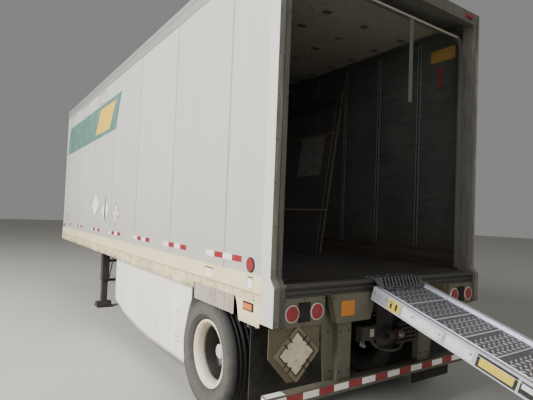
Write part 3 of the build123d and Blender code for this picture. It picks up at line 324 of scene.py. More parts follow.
def make_side_panel(settings):
    """Painted aluminium sheet outside, chalked and streaked; grey composite liner with scuffs inside."""
    f = Finish("chalked painted aluminium sheet")
    ahead = f.out(MATH, {0: f.x, 1: REAR + SEAMS[0]}, operation="SUBTRACT")
    tone, across = f.boards(f.out(MATH, {0: ahead, 1: PANEL}, operation="DIVIDE"))
    paint = f.coats(
        settings.panel_colour, ("#b4b6b2", 0.4, tone),
        ("#c3c1b8", 0.35, f.patches(0.9, 0.35, 0.75, stretch=(1, 1, 0.5), seed=2.0)),
        ("#8b8b84", 0.22, f.patches(0.045, 0.5, 0.8, stretch=(1, 1, 0.05), seed=4.0)),
        ("#aea591", 0.35, (f.z, 2.3, 1.3)),
        # A soft shade and a dark line at each seam
        ("#77787a", 0.35, (f.band(across, 0.012, 0.988, 0.012), 1.0, 0.0)),
        ("#4d4e50", 0.7, (f.band(across, 0.0025, 0.9975, 0.0008), 1.0, 0.0)),
        ("#77756c", 0.35, f.patches(0.012, 0.66, 0.74, detail=5.0, seed=6.0)),
    )
    colour = f.coats(
        "#626762", ("#4f5450", f.patches(0.5, 0.3, 0.7, seed=8.0)),
        ("#3c3e3b", 0.6, f.patches(0.11, 0.55, 0.7, stretch=(0.35, 1, 1.6), seed=9.0)),
        ("#5b4a40", 0.5, (f.z, FLOOR + 0.5, FLOOR + 0.2)),
        (paint, past(f.aside, SKIN - 0.012)), (paint, past(f.x, NOSE - 0.195)),
    )
    return f.close(colour, 0.42, f.grain(1 / 3), depth=0.003, strength=0.35)


def make_wood(name, board_width, base, groove, worn, across="y", roughness=0.75):
    """Hardwood or plywood: boards of one width, grain along the trailer, dirt in the joints."""
    f = Finish(name)
    tone, place = f.boards(f.out(MATH, {0: getattr(f, across), 1: board_width}, operation="DIVIDE"))
    edge = f.band(place, 0.03, 0.97, 0.02)
    # Real oak pores are under a millimetre; they are drawn 12 mm apart so that they show
    grain = f.patches(0.012, 0.4, 0.75, stretch=(0.05, 1, 1), seed=2.5)
    wear = f.patches(0.3, 0.45, 0.7, seed=6.5)
    colour = f.coats(base, (worn, tone), (groove, 0.55, grain), (worn, 0.6, wear), (groove, (edge, 1.0, 0.0)))
    return f.close(colour, roughness, edge, depth=0.002)


def make_rubber(name, base, dust, dust_amount=0.6):
    """Vulcanised rubber: nearly black, matt, greyed by road dust."""
    f = Finish(name)
    colour = f.coats(base, (dust, dust_amount, f.patches(0.09, 0.3, 0.75, seed=3.0)), (dust, 0.35, (f.z, 0.5, 0.0)))
    return f.close(colour, 0.85, f.grain(1 / 700), depth=0.0004)


def make_lens(name, colour):
    """A moulded acrylic lens: clear red or amber, glossy, dusty; its 3 mm ribs are drawn 9 mm apart to show."""
    f = Finish(name)
    ribs = []
    for part in (f.y, f.z):
        turns = f.out(MATH, {0: part, 1: tau / 0.009}, operation="MULTIPLY")
        ribs.append(f.out(MATH, {0: turns}, operation="SINE"))
    height = f.out(MATH, {0: ribs[0], 1: ribs[1]}, operation="ADD")
    tone = f.coats(colour, ("#9a7a70", 0.12, f.patches(0.03, 0.4, 0.8, seed=1.0)))
    return f.close(tone, 0.25, height, depth=0.0012, coat=0.5)


def make_tape(name, colour):
    """Reflective sheeting: 4 mm cells under a clear film, dulled by dust."""
    f = Finish(name)
    cells = f.out("ShaderNodeTexVoronoi", {"Vector": f.where, "Scale": 1 / 0.004}, feature="DISTANCE_TO_EDGE")
    worn = f.patches(0.05, 0.5, 0.8, detail=6.0, seed=2.0)
    tone = f.coats(linear(colour, 0.8), (colour, (cells, 0.0, 0.08)), ("#a39c90", 0.25, worn))
    return f.close(tone, 0.35, coat=0.3)


def make_aluminium(name, base, dirt, roughness=0.42, line=0.004, sunlit=None):
    """Mill-finish extruded aluminium: draw lines, drawn coarse to show, and oxide patches; where a sunlit tone is
    given, a painted highlight brightens the ramp from 0.45 m to 1.75 m behind the door plane and stays over its lower
    part."""
    f = Finish(name)
    drawn = f.patches(line, 0.3, 0.8, stretch=(0.04, 1, 1), seed=2.0)
    dull = f.patches(0.12, 0.45, 0.7, detail=6.0, seed=5.0)
    # Painted sunlight: a brighter tone over the ramp's lower part
    painted_sunlight = [(sunlit, (f.x, REAR - 0.45, REAR - 1.75))] if sunlit else []
    colour = f.coats(base, (linear(base, 0.7), 0.35, drawn), *painted_sunlight, (dirt, 0.5, dull))
    rough = f.out(RANGE, {0: dull, 3: roughness - 0.08, 4: roughness + 0.2})
    return f.close(colour, rough, drawn, depth=0.0003, metallic=0.4)


def make_tread_rubber():
    """Vulcanised rubber, matt: dusty grey side walls with moulded rings, a darker tread."""
    f = Finish("vulcanised tyre rubber")
    across = f.out(MATH, {0: f.x, 1: AXLE.x}, operation="SUBTRACT")
    rise = f.out(MATH, {0: f.z, 1: AXLE.z}, operation="SUBTRACT")
    flat = f.out("ShaderNodeCombineXYZ", {0: across, 1: rise})
    radius = add(f.tree, "ShaderNodeVectorMath", {0: flat}, operation="LENGTH").outputs["Value"]
    dusty = f.patches(0.07, 0.25, 0.8, seed=3.0)
    tread = f.coats("#151616", ("#33312e", 0.5, dusty))
    colour = f.coats(
        "#2d2c2a", ("#4c4945", dusty), ("#7d7971", 0.3, f.band(radius, 0.33, 0.445, 0.03)),
        (tread, f.band(radius, 0.482, 0.6, 0.01)),
    )
    turns = f.out(MATH, {0: radius, 1: tau / 0.006}, operation="MULTIPLY")
    wave = f.out(MATH, {0: turns}, operation="SINE")
    return f.close(colour, 0.82, f.within(wave, f.band(radius, 0.435, 0.475, 0.004)), depth=0.0008)


def make_plain(name, colour, worn, amount=0.4, roughness=0.4, size=0.04, metallic=0.0):
    """A thin coat, film or moulding in one colour, rubbed and dusty in patches."""
    f = Finish(name)
    tone = f.coats(colour, (worn, amount, f.patches(size, 0.45, 0.78, detail=6.0, seed=4.0)))
    return f.close(tone, roughness, f.grain(1 / 400), depth=0.0003, metallic=metallic)


def paint_node(name, material):
    """Gives a frame node its finish."""
    slots = NODES[name].data.materials
    slots.clear()
    slots.append(material)


def finished(name, builder, body, slot, *materials):
    """Turns a bmesh into a piece that rides on a body."""
    mesh = bpy.data.meshes.new(name)
    bmesh.ops.recalc_face_normals(builder, faces=builder.faces)
    builder.to_mesh(mesh)
    builder.free()
    piece = bpy.data.objects.new(name, mesh)
    bpy.context.scene.collection.objects.link(piece)
    for material in materials:
        mesh.materials.append(material)
    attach(piece, body)
    return piece


def at(place, y, z):
    """A point by its place ahead of the door plane, its side place and its height."""
    return Vector((REAR + place, y, z))


def spots(places, ys, heights):
    """A point at each of several places ahead, side places and heights."""
    return [at(place, y, z) for place in places for y in ys for z in heights]


def on_ramp(along, y, out):
    """A point of the ramp: down the slope from the hinge, across, and out of the beams' top."""
    return RAMP_HINGE + RAMP_DOWN * along + RAMP_OUT * out + Vector((0, y, 0))


def row(start, end, pitch):
    """Points at about one pitch on a straight line, both ends among them."""
    count = max(1, round((end - start).length / pitch))
    return [start + (end - start) * i / count for i in range(count + 1)]


def arms(axis):
    """Two directions square to an axis and to each other."""
    side = axis.orthogonal().normalized()
    return side, axis.cross(side)


def ring(centre, axis, radius, count, turn=0.0, side=None):
    """Points spaced evenly on a circle."""
    axis = Vector(axis).normalized()
    start, up = arms(axis) if side is None else (side, axis.cross(side))
    angles = [tau * i / count + turn for i in range(count)]
    return [Vector(centre) + (start * cos(a) + up * sin(a)) * radius for a in angles]


def rectangle(low, high):
    """The four corners of an upright rectangle."""
    return [(low[0], low[1]), (high[0], low[1]), (high[0], high[1]), (low[0], high[1])]


def diamond(middle, level, wide, tall):
    """The four corners of a square or diamond that stands on its point."""
    return [(middle - wide, level), (middle, level - tall), (middle + wide, level), (middle, level + tall)]


def border(outline, width):
    """Strips of one width just inside a closed convex outline of flat corners."""
    count = len(outline)
    corners = [Vector(c) for c in outline]
    middle = sum(corners, Vector((0, 0))) / count
    inward = []
    for i, corner in enumerate(corners):
        edge = (corners[(i + 1) % count] - corner).normalized()
        normal = Vector((-edge.y, edge.x))
        inward.append(normal if normal.dot(middle - corner) > 0 else -normal)
    inner = [
        c + (inward[i - 1] + inward[i]) * width / (1 + inward[i - 1].dot(inward[i])) for i, c in enumerate(corners)
    ]
    return [(corners[i], corners[(i + 1) % count], inner[(i + 1) % count], inner[i]) for i in range(count)]


def smooth_path(points, steps=6):
    """More points on a rounded line through a few."""
    made = []
    for i in range(len(points) - 1):
        before, a, b = points[max(i - 1, 0)], points[i], points[i + 1]
        after = points[min(i + 2, len(points) - 1)]
        for k in range(steps):
            t = k / steps
            made.append(
                0.5 * (2 * a + (b - before) * t + (2 * before - 5 * a + 4 * b - after) * t ** 2
                       + (3 * a - before - 3 * b + after) * t ** 3)
            )
    return made + [points[-1]]


def slab(builder, outline, direction, depth, material=0):
    """A closed outline of points in space, given a thickness along a direction."""
    offset = Vector(direction) * depth
    near = [builder.verts.new(p) for p in outline]
    far = [builder.verts.new(Vector(p) + offset) for p in outline]
    made = [builder.faces.new(near[::-1]), builder.faces.new(far)]
    for i in range(len(near)):
        j = (i + 1) % len(near)
        made.append(builder.faces.new((near[i], near[j], far[j], far[i])))
    for face in made:
        face.material_index = material


def block(builder, low, high, material=0):
    """A plain block between two corners, for what lies hidden or is a few centimetres big."""
    outline = [(x, y, low[2]) for x, y in rectangle(low, high)]
    slab(builder, outline, (0, 0, 1), high[2] - low[2], material)


def side_plate(builder, side, corners, proud, material=0, face=SKIN):
    """A thin plate on a side of the body; each corner is a place ahead of the door plane and a height."""
    outline = [at(place, side * (face - SINK), height) for place, height in corners]
    slab(builder, outline, (0, side, 0), SINK + proud, material)


def rear_plate(builder, corners, face, proud, material=0):
    """A thin plate on the rear; each corner is a side place and a height, the face a place ahead."""
    outline = [at(face + SINK, y, z) for y, z in corners]
    slab(builder, outline, REARWARD, SINK + proud, material)


def bridge(builder, rings, material=0, closed=False, opened=None):
    """Smooth faces from ring to ring; 'opened' tells which face to leave out by its ring and its step."""
    pairs = list(zip(rings, rings[1:])) + ([(rings[-1], rings[0])] if closed else [])
    for index, (a, b) in enumerate(pairs):
        steps = max(len(a), len(b))
        for i in range(steps):
            j = (i + 1) % steps
            corners = dict.fromkeys((a[i % len(a)], a[j % len(a)], b[j % len(b)], b[i % len(b)]))
            if len(corners) > 2 and not (opened and opened(index, i)):
                face = builder.faces.new(list(corners))
                face.material_index = material
                face.smooth = True


def lathe(builder, profile, centre, axis, steps, material=0, closed=False):
    """A profile of (distance along, radius) points turned round an axis through a centre."""
    axis = Vector(axis).normalized()
    rings = []
    for along, radius in profile:
        middle = Vector(centre) + axis * along
        points = ring(middle, axis, radius, steps) if radius > 0 else [middle]
        rings.append([builder.verts.new(p) for p in points])
    bridge(builder, rings, material, closed)
    return rings


def tube(builder, points, radius, steps=10, material=0):
    """A formed round line through points, closed at its ends."""
    rings = []
    side = None
    for i, point in enumerate(points):
        ahead = (points[min(i + 1, len(points) - 1)] - points[max(i - 1, 0)]).normalized()
        side = arms(ahead)[0] if side is None else (side - ahead * side.dot(ahead)).normalized()
        rings.append([builder.verts.new(p) for p in ring(point, ahead, radius, steps, side=side)])
    bridge(builder, rings, material)
    for end in (rings[0][::-1], rings[-1]):
        builder.faces.new(end).material_index = material


def heads_tree():
    """Geometry nodes that put one small tapered head on each point, turned to a direction."""
    tree = bpy.data.node_groups.get("heads on points")
    if tree:
        return tree
    tree = bpy.data.node_groups.new("heads on points", "GeometryNodeTree")
    tree.interface.new_socket(name="Geometry", in_out="OUTPUT", socket_type="NodeSocketGeometry")
    for name, kind in (
        ("Points", "Geometry"), ("Sides", "Int"), ("Foot radius", "Float"), ("Head radius", "Float"),
        ("Height", "Float"), ("Stretch", "Vector"), ("Out", "Vector"), ("Along", "Vector"), ("Finish", "Material"),
    ):
        tree.interface.new_socket(name=name, in_out="INPUT", socket_type=f"NodeSocket{kind}")
    given = add(tree, "NodeGroupInput").outputs
    cone = add(tree, "GeometryNodeMeshCone", {
        "Vertices": given["Sides"], "Radius Top": given["Head radius"],
        "Radius Bottom": given["Foot radius"], "Depth": given["Height"],
    })
    shaped = add(tree, "GeometryNodeTransform", {"Geometry": cone.outputs["Mesh"], "Scale": given["Stretch"]})
    turned = add(
        tree, "FunctionNodeAxesToRotation", {0: given["Out"], 1: given["Along"]}, primary_axis="Z", secondary_axis="X"
    )
    placed = add(tree, "GeometryNodeInstanceOnPoints", {
        "Points": given["Points"], "Instance": shaped.outputs[0], "Rotation": turned.outputs[0],
    })
    real = add(tree, "GeometryNodeRealizeInstances", {0: placed.outputs[0]})
    dressed = add(tree, "GeometryNodeSetMaterial", {"Geometry": real.outputs[0], "Material": given["Finish"]})
    add(tree, "NodeGroupOutput", {"Geometry": dressed.outputs[0]})
    return tree


def heads(builder, points, out, finish, shape, material=0, sides=6, along=(0, 0, 1), stretch=(1, 1, 1)):
    """Puts a head on each point and adds them, as plain mesh, to a piece. The shape is the radius of the foot,
    the radius of the head and the height."""
    mesh = bpy.data.meshes.new("points")
    mesh.from_pydata([tuple(p) for p in points], [], [])
    carrier = bpy.data.objects.new("points", mesh)
    bpy.context.scene.collection.objects.link(carrier)
    modifier = carrier.modifiers.new("heads", "NODES")
    modifier.node_group = heads_tree()
    values = {
        "Sides": sides, "Foot radius": shape[0], "Head radius": shape[1], "Height": shape[2],
        "Stretch": stretch, "Out": out, "Along": along, "Finish": finish,
    }
    for item in modifier.node_group.interface.items_tree:
        if item.in_out == "INPUT" and item.name in values:
            modifier[item.identifier] = values[item.name]
    made = bpy.data.meshes.new_from_object(carrier.evaluated_get(bpy.context.evaluated_depsgraph_get()))
    bpy.data.objects.remove(carrier)
    before = len(builder.faces)
    builder.from_mesh(made)
    builder.faces.ensure_lookup_table()
    for face in builder.faces[before:]:
        face.material_index = material


class TrailerSettings(bpy.types.PropertyGroup):
    panel_colour: StringProperty(name="Panel colour", description="Paint of the side sheets", default="#c2c4bc")
    rail_colour: StringProperty(name="Rail colour", description="Paint of the bottom rails", default="#f4e3b6")
    # The frame colour is the painted shade of the rear frame's rear and inner faces; the post colour is the lit paint
    # on the posts' outer sides
    shaded_frame_colour: StringProperty(name="Frame colour", description="Paint of the rear frame", default="#8b897e")
    lit_post_colour: StringProperty(name="Post colour", description="Paint of the posts' outer sides", default="#cfcfc6")
    band_colour: StringProperty(name="Band colour", description="Film band high on each side", default="#537a71")
    field_colour: StringProperty(name="Field colour", description="Slanted field on the band", default="#e6bb45")
    tape_height: FloatProperty(name="Tape height", description="Of the reflective tape", default=0.051, unit="LENGTH")
    tape_block: FloatProperty(name="Tape block", description="Of one colour of tape", default=0.157, unit="LENGTH")
    rivet_pitch: FloatProperty(name="Rivet pitch", description="Space between rivets", default=0.052, unit="LENGTH")
    wheel_nuts: IntProperty(name="Wheel nuts", description="Nuts on each outer wheel", default=10)
    tread_pitch: FloatProperty(name="Tread pitch", description="Of the ramp's tread bars", default=0.062, unit="LENGTH")


class StageSettings(bpy.types.PropertyGroup):
    focal_pixels: FloatProperty(name="Focal length", description="In pixels of a 533 wide picture", default=436.0)
    camera_yaw: FloatProperty(
        name="Yaw", description="Turn of the camera from straight ahead", default=radians(-34.13), subtype="ANGLE")
    camera_pitch: FloatProperty(
        name="Pitch", description="Tilt of the camera upwards", default=radians(2.0), subtype="ANGLE")
    camera_roll: FloatProperty(name="Roll", description="Roll of the camera", default=radians(2.25), subtype="ANGLE")
    camera_place: FloatVectorProperty(
        name="Place", description="Camera from the rear door plane, the middle and the ground",
        default=(-2.55, 3.078, 1.762), subtype="XYZ", unit="LENGTH")


class SCENE_OT_trailer_paint(bpy.types.Operator):
    """Gives every frame node its finish"""
    bl_idname = "trailer.paint"
    bl_label = "Paint the frame"

    def execute(self, context):
        settings = context.scene.trailer
        finishes = (
            # Chalked paint: pale and matt, with a hint of each sheet's own tone
            (make_side_panel(settings), "side_wall_left side_wall_right nose_wall"),
            # Aged enamel: warm cream with a low gloss and brown specks
            (make_rail(settings), "bottom_rails nose_bottom_rail"),
            (make_arch(settings), "arch_panels"),
            # Unpainted extrusion: grey, softly shining, with lines along it
            (make_aluminium("extruded aluminium rail", "#a9aba8", "#77716a", 0.5), "top_rails nose_top_rail roof"),
            # Worn enamel: lit paint on the posts' outer sides, painted shade on the rear and inner faces, with road
            # film over it
            (make_post_paint(settings), "rear_posts rear_header"),
            # Enamel on plate and tube: grey-green and matt, brown where it has chipped
            (weathered("worn olive grey enamel on steel", "#6a6656", "#4a4437", "#5d4029", 0.7, 0.5, 0.6),
             "lamp_panels underride_guard"),
            # Bare steel: polished and scratched by loads, rust in its hollows
            (weathered("bare worn steel", "#55534f", "#2c2823", "#5c3a26", 0.7, 0.6, 0.5, metallic=0.4), "rear_sill"),
            # Chassis enamel: black turned brown by dust
            (weathered("black chassis enamel", "#2b2a29", "#5a5146", "#4d3222", 0.7, 0.6, 0.65),
             "crossmembers upper_coupler kingpin landing_legs landing_shoes landing_braces landing_crank axle "
             "suspension_frame leaf_springs brake_chambers air_tank flap_brackets pintle_mount nose_sockets"),
            # White enamel under road spray: off-white, brown towards its foot
            (weathered("off-white enamel sheet", "#e0d9cb", "#9a8d78", "#7d5a3a", 0.5, 0.15, 0.4), "side_skirts"),
            # Zinc coat: cool mid grey with a dull shine
            (weathered("galvanised steel", "#8c8d8b", "#5f5a52", "#63503c", 0.4, 0.2, 0.45, metallic=0.6),
             "door_tracks door_spring_shaft door_hinges"),
            # Olive enamel: a dull green-brown ground behind the pale placard
            (weathered("olive enamel plate", "#6b634e", "#463f31", "#5a3d28", 0.6, 0.4, 0.6), "placard_back"),
            (make_placard(), "placard_holder"),
            # Coated plywood: pale, stained brown in streaks
            (weathered("coated plywood", "#aba292", "#4f473b", "#4a3a2c", 0.9, 0.6, 0.65), "roll_door"),
            # Laminated oak: narrow strips, grey with wear, dark in the joints
            (make_wood("laminated oak floor", 0.032, "#4a4440", "#26221f", "#5b5550"), "floor_deck"),
            # Softwood planks: brown, scuffed pale by loads; aged plywood: flat dark grey sheets
            (make_wood("scuffed plank", 0.09, "#4b4038", "#2c241e", "#645549", across="z"), "scuff_boards"),
            (make_wood("dark plywood", 0.4, "#57534f", "#423f3c", "#625d58"), "bulkhead_boards"),
            # Rubber: black, matt, greyed by dust near the ground
            (make_rubber("moulded rubber sheet", "#1b1b1b", "#4a443c"), "mud_flaps pull_strap"),
            (make_rubber("vulcanised tyre rubber", "#232323", "#8d877b", 0.75), "tyres_left tyres_right"),
            # Wheel enamel: cream at the flange, painted shade deep in the dish; cast iron: nearly black round a light
            # cap
            (make_rim(), "rims_left rims_right"),
            (make_hub(), "hub_left hub_right"),
            # Acrylic: deep red with a wet gloss
            (make_lens("moulded acrylic red", "#8a0e1a"), "tail_lamps marker_lamps"),
            # Ramp alloy: bright on the beams, dark and scuffed where feet go; a painted highlight brightens both down
            # the ramp's lower part
            (make_aluminium("mill-finish ramp aluminium", "#b4b5bf", "#85807a", 0.4, sunlit="#d8d8da"), "ramp_beams"),
            (make_aluminium("scuffed deck aluminium", "#66656a", "#4a4642", 0.5, sunlit="#6f6b68"),
             "ramp_planks ramp_apron"),
        )
        painted = set()
        for material, names in finishes:
            for name in names.split():
                paint_node(name, material)
                painted.add(name)
        if set(NODES) - painted:
            raise RuntimeError(f"these nodes have no finish: {sorted(set(NODES) - painted)}")
        return {"FINISHED"}


class SCENE_OT_trailer_tyres(bpy.types.Operator):
    """Makes the twin tyres with their moulded rings, ribs and grooves"""
    bl_idname = "trailer.tyres"
    bl_label = "Tyres"

    def execute(self, context):
        rubber = make_tread_rubber()
        # Offset from the tyre's middle and radius, from the bead to the tread's middle
        half = (
            (0.0925, 0.2843), (0.0925, 0.3000), (0.1060, 0.3060), (0.1180, 0.3180), (0.1290, 0.3320),
            (0.1370, 0.3480), (0.1400, 0.3500), (0.1428, 0.3545), (0.1402, 0.3590), (0.1420, 0.3720),
            (0.1440, 0.4000), (0.1440, 0.4320), (0.1425, 0.4380), (0.1448, 0.4420), (0.1425, 0.4470),
            (0.1395, 0.4560), (0.1310, 0.4660), (0.1180, 0.4790), (0.1050, 0.4900), (0.0960, 0.4965),
            (0.0890, 0.4985), (0.0720, 0.4992), (0.0705, 0.4875), (0.0625, 0.4875), (0.0610, 0.4994),
            (0.0330, 0.4998), (0.0315, 0.4880), (0.0235, 0.4880), (0.0220, 0.5000),
        )
        profile = list(half) + [(-offset, radius) for offset, radius in reversed(half)]
        shoulder = [i for i, (offset, radius) in enumerate(profile) if 0.489 < radius < 0.497]
        for side, s in SIDES:
            builder = bmesh.new()
            for place in TYRE_PLACES:
                middle = Vector((AXLE.x, s * place, AXLE.z))
                rings = lathe(builder, profile, middle, (0, 1, 0), WHEEL_STEPS, closed=True)
                # Short notches round both shoulders
                for vert in [vert for i in shoulder for vert in rings[i][::3]]:
                    vert.co -= Vector((vert.co.x - AXLE.x, 0, vert.co.z - AXLE.z)).normalized() * 0.004
            piece = finished(f"treaded_tyres_{side}", builder, f"wheels_{side}", "tyre", rubber)
            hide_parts(f"tyres_{side}")
        return {"FINISHED"}


class SCENE_OT_trailer_rims(bpy.types.Operator):
    """Turns the dished rims with a whole flange and five even hand holes round each disc"""
    bl_idname = "trailer.rims"
    bl_label = "Rims"

    def execute(self, context):
        paint = NODES["rims_left"].data.materials[0]
        # Offset from the wheel's middle and radius, once round the section; both cones carry the hand holes
        cone_front = [(-0.1625 + 0.0785 * (r - 0.156) / 0.085, r) for r in HOLE_RADII]
        cone_back = [(-0.1715 + 0.0935 * (r - 0.160) / 0.115, r) for r in HOLE_RADII]
        section = [
            (0.105, 0.275), (0.105, 0.2965), (0.103, 0.2985), (0.093, 0.2985), (0.093, 0.284), (-0.093, 0.284),
            (-0.093, 0.2985), (-0.103, 0.2985), (-0.105, 0.2965), (-0.105, 0.275), (-0.078, 0.275),
            *reversed(cone_back), (-0.1715, 0.160), (-0.1715, 0.090), (-0.1625, 0.090), (-0.1625, 0.156), *cone_front,
            (-0.084, 0.241), (0.041, 0.241), (0.059, 0.275),
        ]
        back, front = section.index(cone_back[-1]), section.index(cone_front[0])
        bands = len(HOLE_RADII) - 1
        # Steps of the cone that are open in each band: the middle one is wider, so that the corners look round
        hole_steps = WHEEL_STEPS // 5
        off_middle = [abs(step % hole_steps - hole_steps / 2 + 0.5) for step in range(WHEEL_STEPS)]
        gap = [[off < reach for off in off_middle] for reach in (3, 4, 3)]

        def opened(index, step):
            if back <= index < back + bands:
                return gap[bands - 1 - (index - back)][step]
            return front <= index < front + bands and gap[index - front][step]

        for side, s in SIDES:
            builder = bmesh.new()
            for place, dish in zip(TYRE_PLACES, (s, -s)):
                rings = []
                for offset, radius in section:
                    middle = (AXLE.x, s * place + dish * offset, AXLE.z)
                    rings.append([builder.verts.new(p) for p in ring(middle, (0, s, 0), radius, WHEEL_STEPS)])
                bridge(builder, rings, closed=True, opened=opened)
                # Walls of the hand holes, where an open step meets a closed one
                fronts, backs = rings[front:front + bands + 1], rings[back:back + bands + 1][::-1]
                for k, i in ((k, i) for k in range(bands) for i in range(WHEEL_STEPS) if gap[k][i]):
                    j = (i + 1) % WHEEL_STEPS
                    for open_beyond, (k0, i0), (k1, i1) in (
                        (k > 0 and gap[k - 1][i], (k, i), (k, j)),
                        (k + 1 < bands and gap[k + 1][i], (k + 1, i), (k + 1, j)),
                        (gap[k][i - 1], (k, i), (k + 1, i)), (gap[k][j], (k, j), (k + 1, j)),
                    ):
                        if not open_beyond:
                            builder.faces.new([fronts[k0][i0], fronts[k1][i1], backs[k1][i1], backs[k0][i0]])
            piece = finished(f"dished_rims_{side}", builder, f"wheels_{side}", "rim_paint", paint)
            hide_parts(f"rims_{side}")
        return {"FINISHED"}


class SCENE_OT_trailer_wheel_fasteners(bpy.types.Operator):
    """Adds the wheel nuts with their studs, the hub cap bolts and the valve stems"""
    bl_idname = "trailer.wheel_fasteners"
    bl_label = "Wheel fasteners"

    def execute(self, context):
        # Zinc plate: dull grey with a metal glint, rust at the edges
        steel = weathered("zinc plated steel nut", "#8b857a", "#5a4c3c", "#6b3d22", 0.7, 0.8, 0.5, 0.6, 0.004)
        for side, s in SIDES:
            builder = bmesh.new()
            out = (0, s, 0)
            disc = (AXLE.x, s * DISC_FACE, AXLE.z)
            nuts = ring(disc, out, 0.128, context.scene.trailer.wheel_nuts)
            heads(builder, nuts, out, steel, (0.0185, 0.017, 0.021))
            heads(builder, nuts, out, steel, (0.0105, 0.0095, 0.034), sides=10)
            cap = ring((AXLE.x, s * HUB_STEP, AXLE.z), out, 0.0742, 6)
            heads(builder, cap, out, steel, (0.0072, 0.0066, 0.007))
            stem = ring(disc, out, HOLE_CIRCLE, 1, turn=HOLE_TURN)[0]
            for reach, radius in (((-0.02, 0.0, 0.035), 0.004), ((0.033, 0.05), 0.0055)):
                tube(builder, [stem + Vector((0, s * d, 0)) for d in reach], radius)
            finished(f"wheel_fasteners_{side}", builder, f"wheels_{side}", "galvanised", steel)
        return {"FINISHED"}


class SCENE_OT_trailer_livery(bpy.types.Operator):
    """Lays the plain colour band with its slanted field, the blank diamonds, frames and labels on the sides"""
    bl_idname = "trailer.livery"
    bl_label = "Side film and plates"

    def execute(self, context):
        settings = context.scene.trailer
        finishes = (
            # Cast film: flat, even colour, chalked in clouds
            make_plain("cast vinyl film, green", settings.band_colour, "#8fa9a1", 0.5, 0.35, 0.3),
            make_plain("cast vinyl film, yellow", settings.field_colour, "#c9ab62", 0.4, 0.35, 0.12),
            # Printed sheet: white, beige and red that rub off in specks; a black film for the painted shadows at the
            # diamonds' edges; enamel: a grey edge, low in gloss
            make_plain("white vinyl sheet", "#fbfaf4", "#c9c7bb", 0.5, 0.45, 0.05),
            make_plain("black film for painted shadow", "#1b1b19", "#4b4943", 0.3, 0.5, 0.05),
            make_plain("aged beige film", "#e0d3b8", "#a99c86", 0.6, 0.6, 0.03),
            make_plain("grey enamel edge", "#8d9090", "#6a6862", 0.5, 0.5, 0.05),
            make_plain("red printed film", "#a8402f", "#8a6a5c", 0.5, 0.5, 0.03),
        )
        film, field, white, black, beige, grey, red = range(len(finishes))
        # Corners as places ahead of the door plane and heights, how proud the plate is, and its finish: the band, the
        # field and a black strip down the second diamond, which is painted shadow
        plates = [
            ([(4.07, 3.546), (4.30, 2.998), (8.24, 2.95), (8.10, 3.53)], 0.0008, film),
            ([(4.37, 3.47), (4.69, 3.054), (5.63, 3.066), (5.325, 3.476)], 0.0014, field),
            ([(4.70, 1.955), (4.745, 1.86), (4.75, 1.64), (4.70, 1.55), (4.665, 1.64), (4.67, 1.86)], 0.0018, black),
        ]
        # Blank diamonds: middle place, middle height, half width, half height, sheet and the four edges; a black edge
        # is painted shadow
        for place, height, wide, tall, sheet, edges in (
            (5.37, 1.815, 0.24, 0.21, white, (black, white, white, white)),
            (4.685, 1.75, 0.25, 0.22, white, (black, white, grey, grey)),
            (4.075, 1.70, 0.24, 0.18, beige, [grey] * 4), (7.855, 1.535, 0.24, 0.14, None, [grey] * 4),
        ):
            strips = border(diamond(place, height, wide, tall), 0.022)
            plates += [(strip, 0.0016, edge) for strip, edge in zip(strips, edges)]
            if sheet is not None:
                plates.append((diamond(place, height, 0.86 * wide, 0.86 * tall), 0.001, sheet))
        # Bands that are left of the third diamond's print, and the empty frames over the band
        plates += [(rectangle((3.93, level), (4.22, level + 0.012)), 0.0016, grey) for level in (1.655, 1.745)]
        for low, high in ((5.01, 5.42), (6.27, 6.69), (7.42, 7.95)):
            plates += [(strip, 0.0025, grey) for strip in border(rectangle((low, 3.56), (high, 3.765)), 0.022)]
            plates.append((rectangle((low + 0.06, 3.575), (high - 0.06, 3.61)), 0.002, beige))
        labels = []
        for low, high, top in (((0.88, 1.198), (1.04, 1.284), red), ((0.225, 1.2), (0.303, 1.29), grey)):
            labels += [(rectangle(low, high), 0.001, white), (rectangle((low[0], high[1] - 0.012), high), 0.0015, top)]
            labels += [(strip, 0.0015, grey) for strip in border(rectangle(low, high), 0.004)]
        for side, s in SIDES:
            builder = bmesh.new()
            for face, group in ((SKIN, plates), (RAIL_FACE, labels)):
                for corners, proud, finish in group:
                    side_plate(builder, s, corners, proud, finish, face)
            finished(f"side_film_{side}", builder, "root", "side_panel", *finishes)
        return {"FINISHED"}


class SCENE_OT_trailer_tape(bpy.types.Operator):
    """Lays the reflective tape along the sides and on the guard, whose ends are white"""
    bl_idname = "trailer.tape"
    bl_label = "Reflective tape"

    def execute(self, context):
        settings = context.scene.trailer
        # Prismatic sheeting: a glassy film over fine cells, deep red and clear white
        red = make_tape("red prismatic sheeting", "#970f20")
        white = make_tape("white prismatic sheeting", "#fbf8f0")
        tall, long = settings.tape_height, settings.tape_block
        builder = bmesh.new()
        low = RAIL_TOP + TAPE_GAP
        middle = (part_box("underride_guard")[0].z + GUARD_TOP) / 2 + 0.008
        start = 1.107
        # Side places and colour of each block on the guard
        blocks = [(start, GUARD_REACH - 0.01, 1), (0.01 - GUARD_REACH, start - 14 * long, 1)]
        blocks += [(start - (i + 1) * long, start - i * long, i % 2) for i in range(14)]
        for near, far, colour in blocks:
            rear_plate(builder, rectangle((near, middle - tall / 2), (far, middle + tall / 2)), 0.0, 0.0006, colour)
        for side, s in SIDES:
            for place in (0.41, 1.48, 2.55, 3.79, 5.00, 6.36, 7.50):
                for i in range(4):
                    strip = rectangle((place + i * long, low), (place + (i + 1) * long, low + tall))
                    side_plate(builder, s, strip, 0.0006, i % 2)
            inner, end = s * (GUARD_REACH - 0.165), s * (GUARD_REACH - 0.004)
            block(builder, at(0.012, inner, GUARD_TOP - SINK), at(0.078, end, GUARD_TOP + 0.0008), 1)
            cap = rectangle((0.012, GUARD_TOP - 0.078), (0.078, GUARD_TOP - 0.012))
            side_plate(builder, s, cap, 0.0008, 1, GUARD_REACH)
        finished("reflective_tape", builder, "root", "red_lens", red, white)
        return {"FINISHED"}


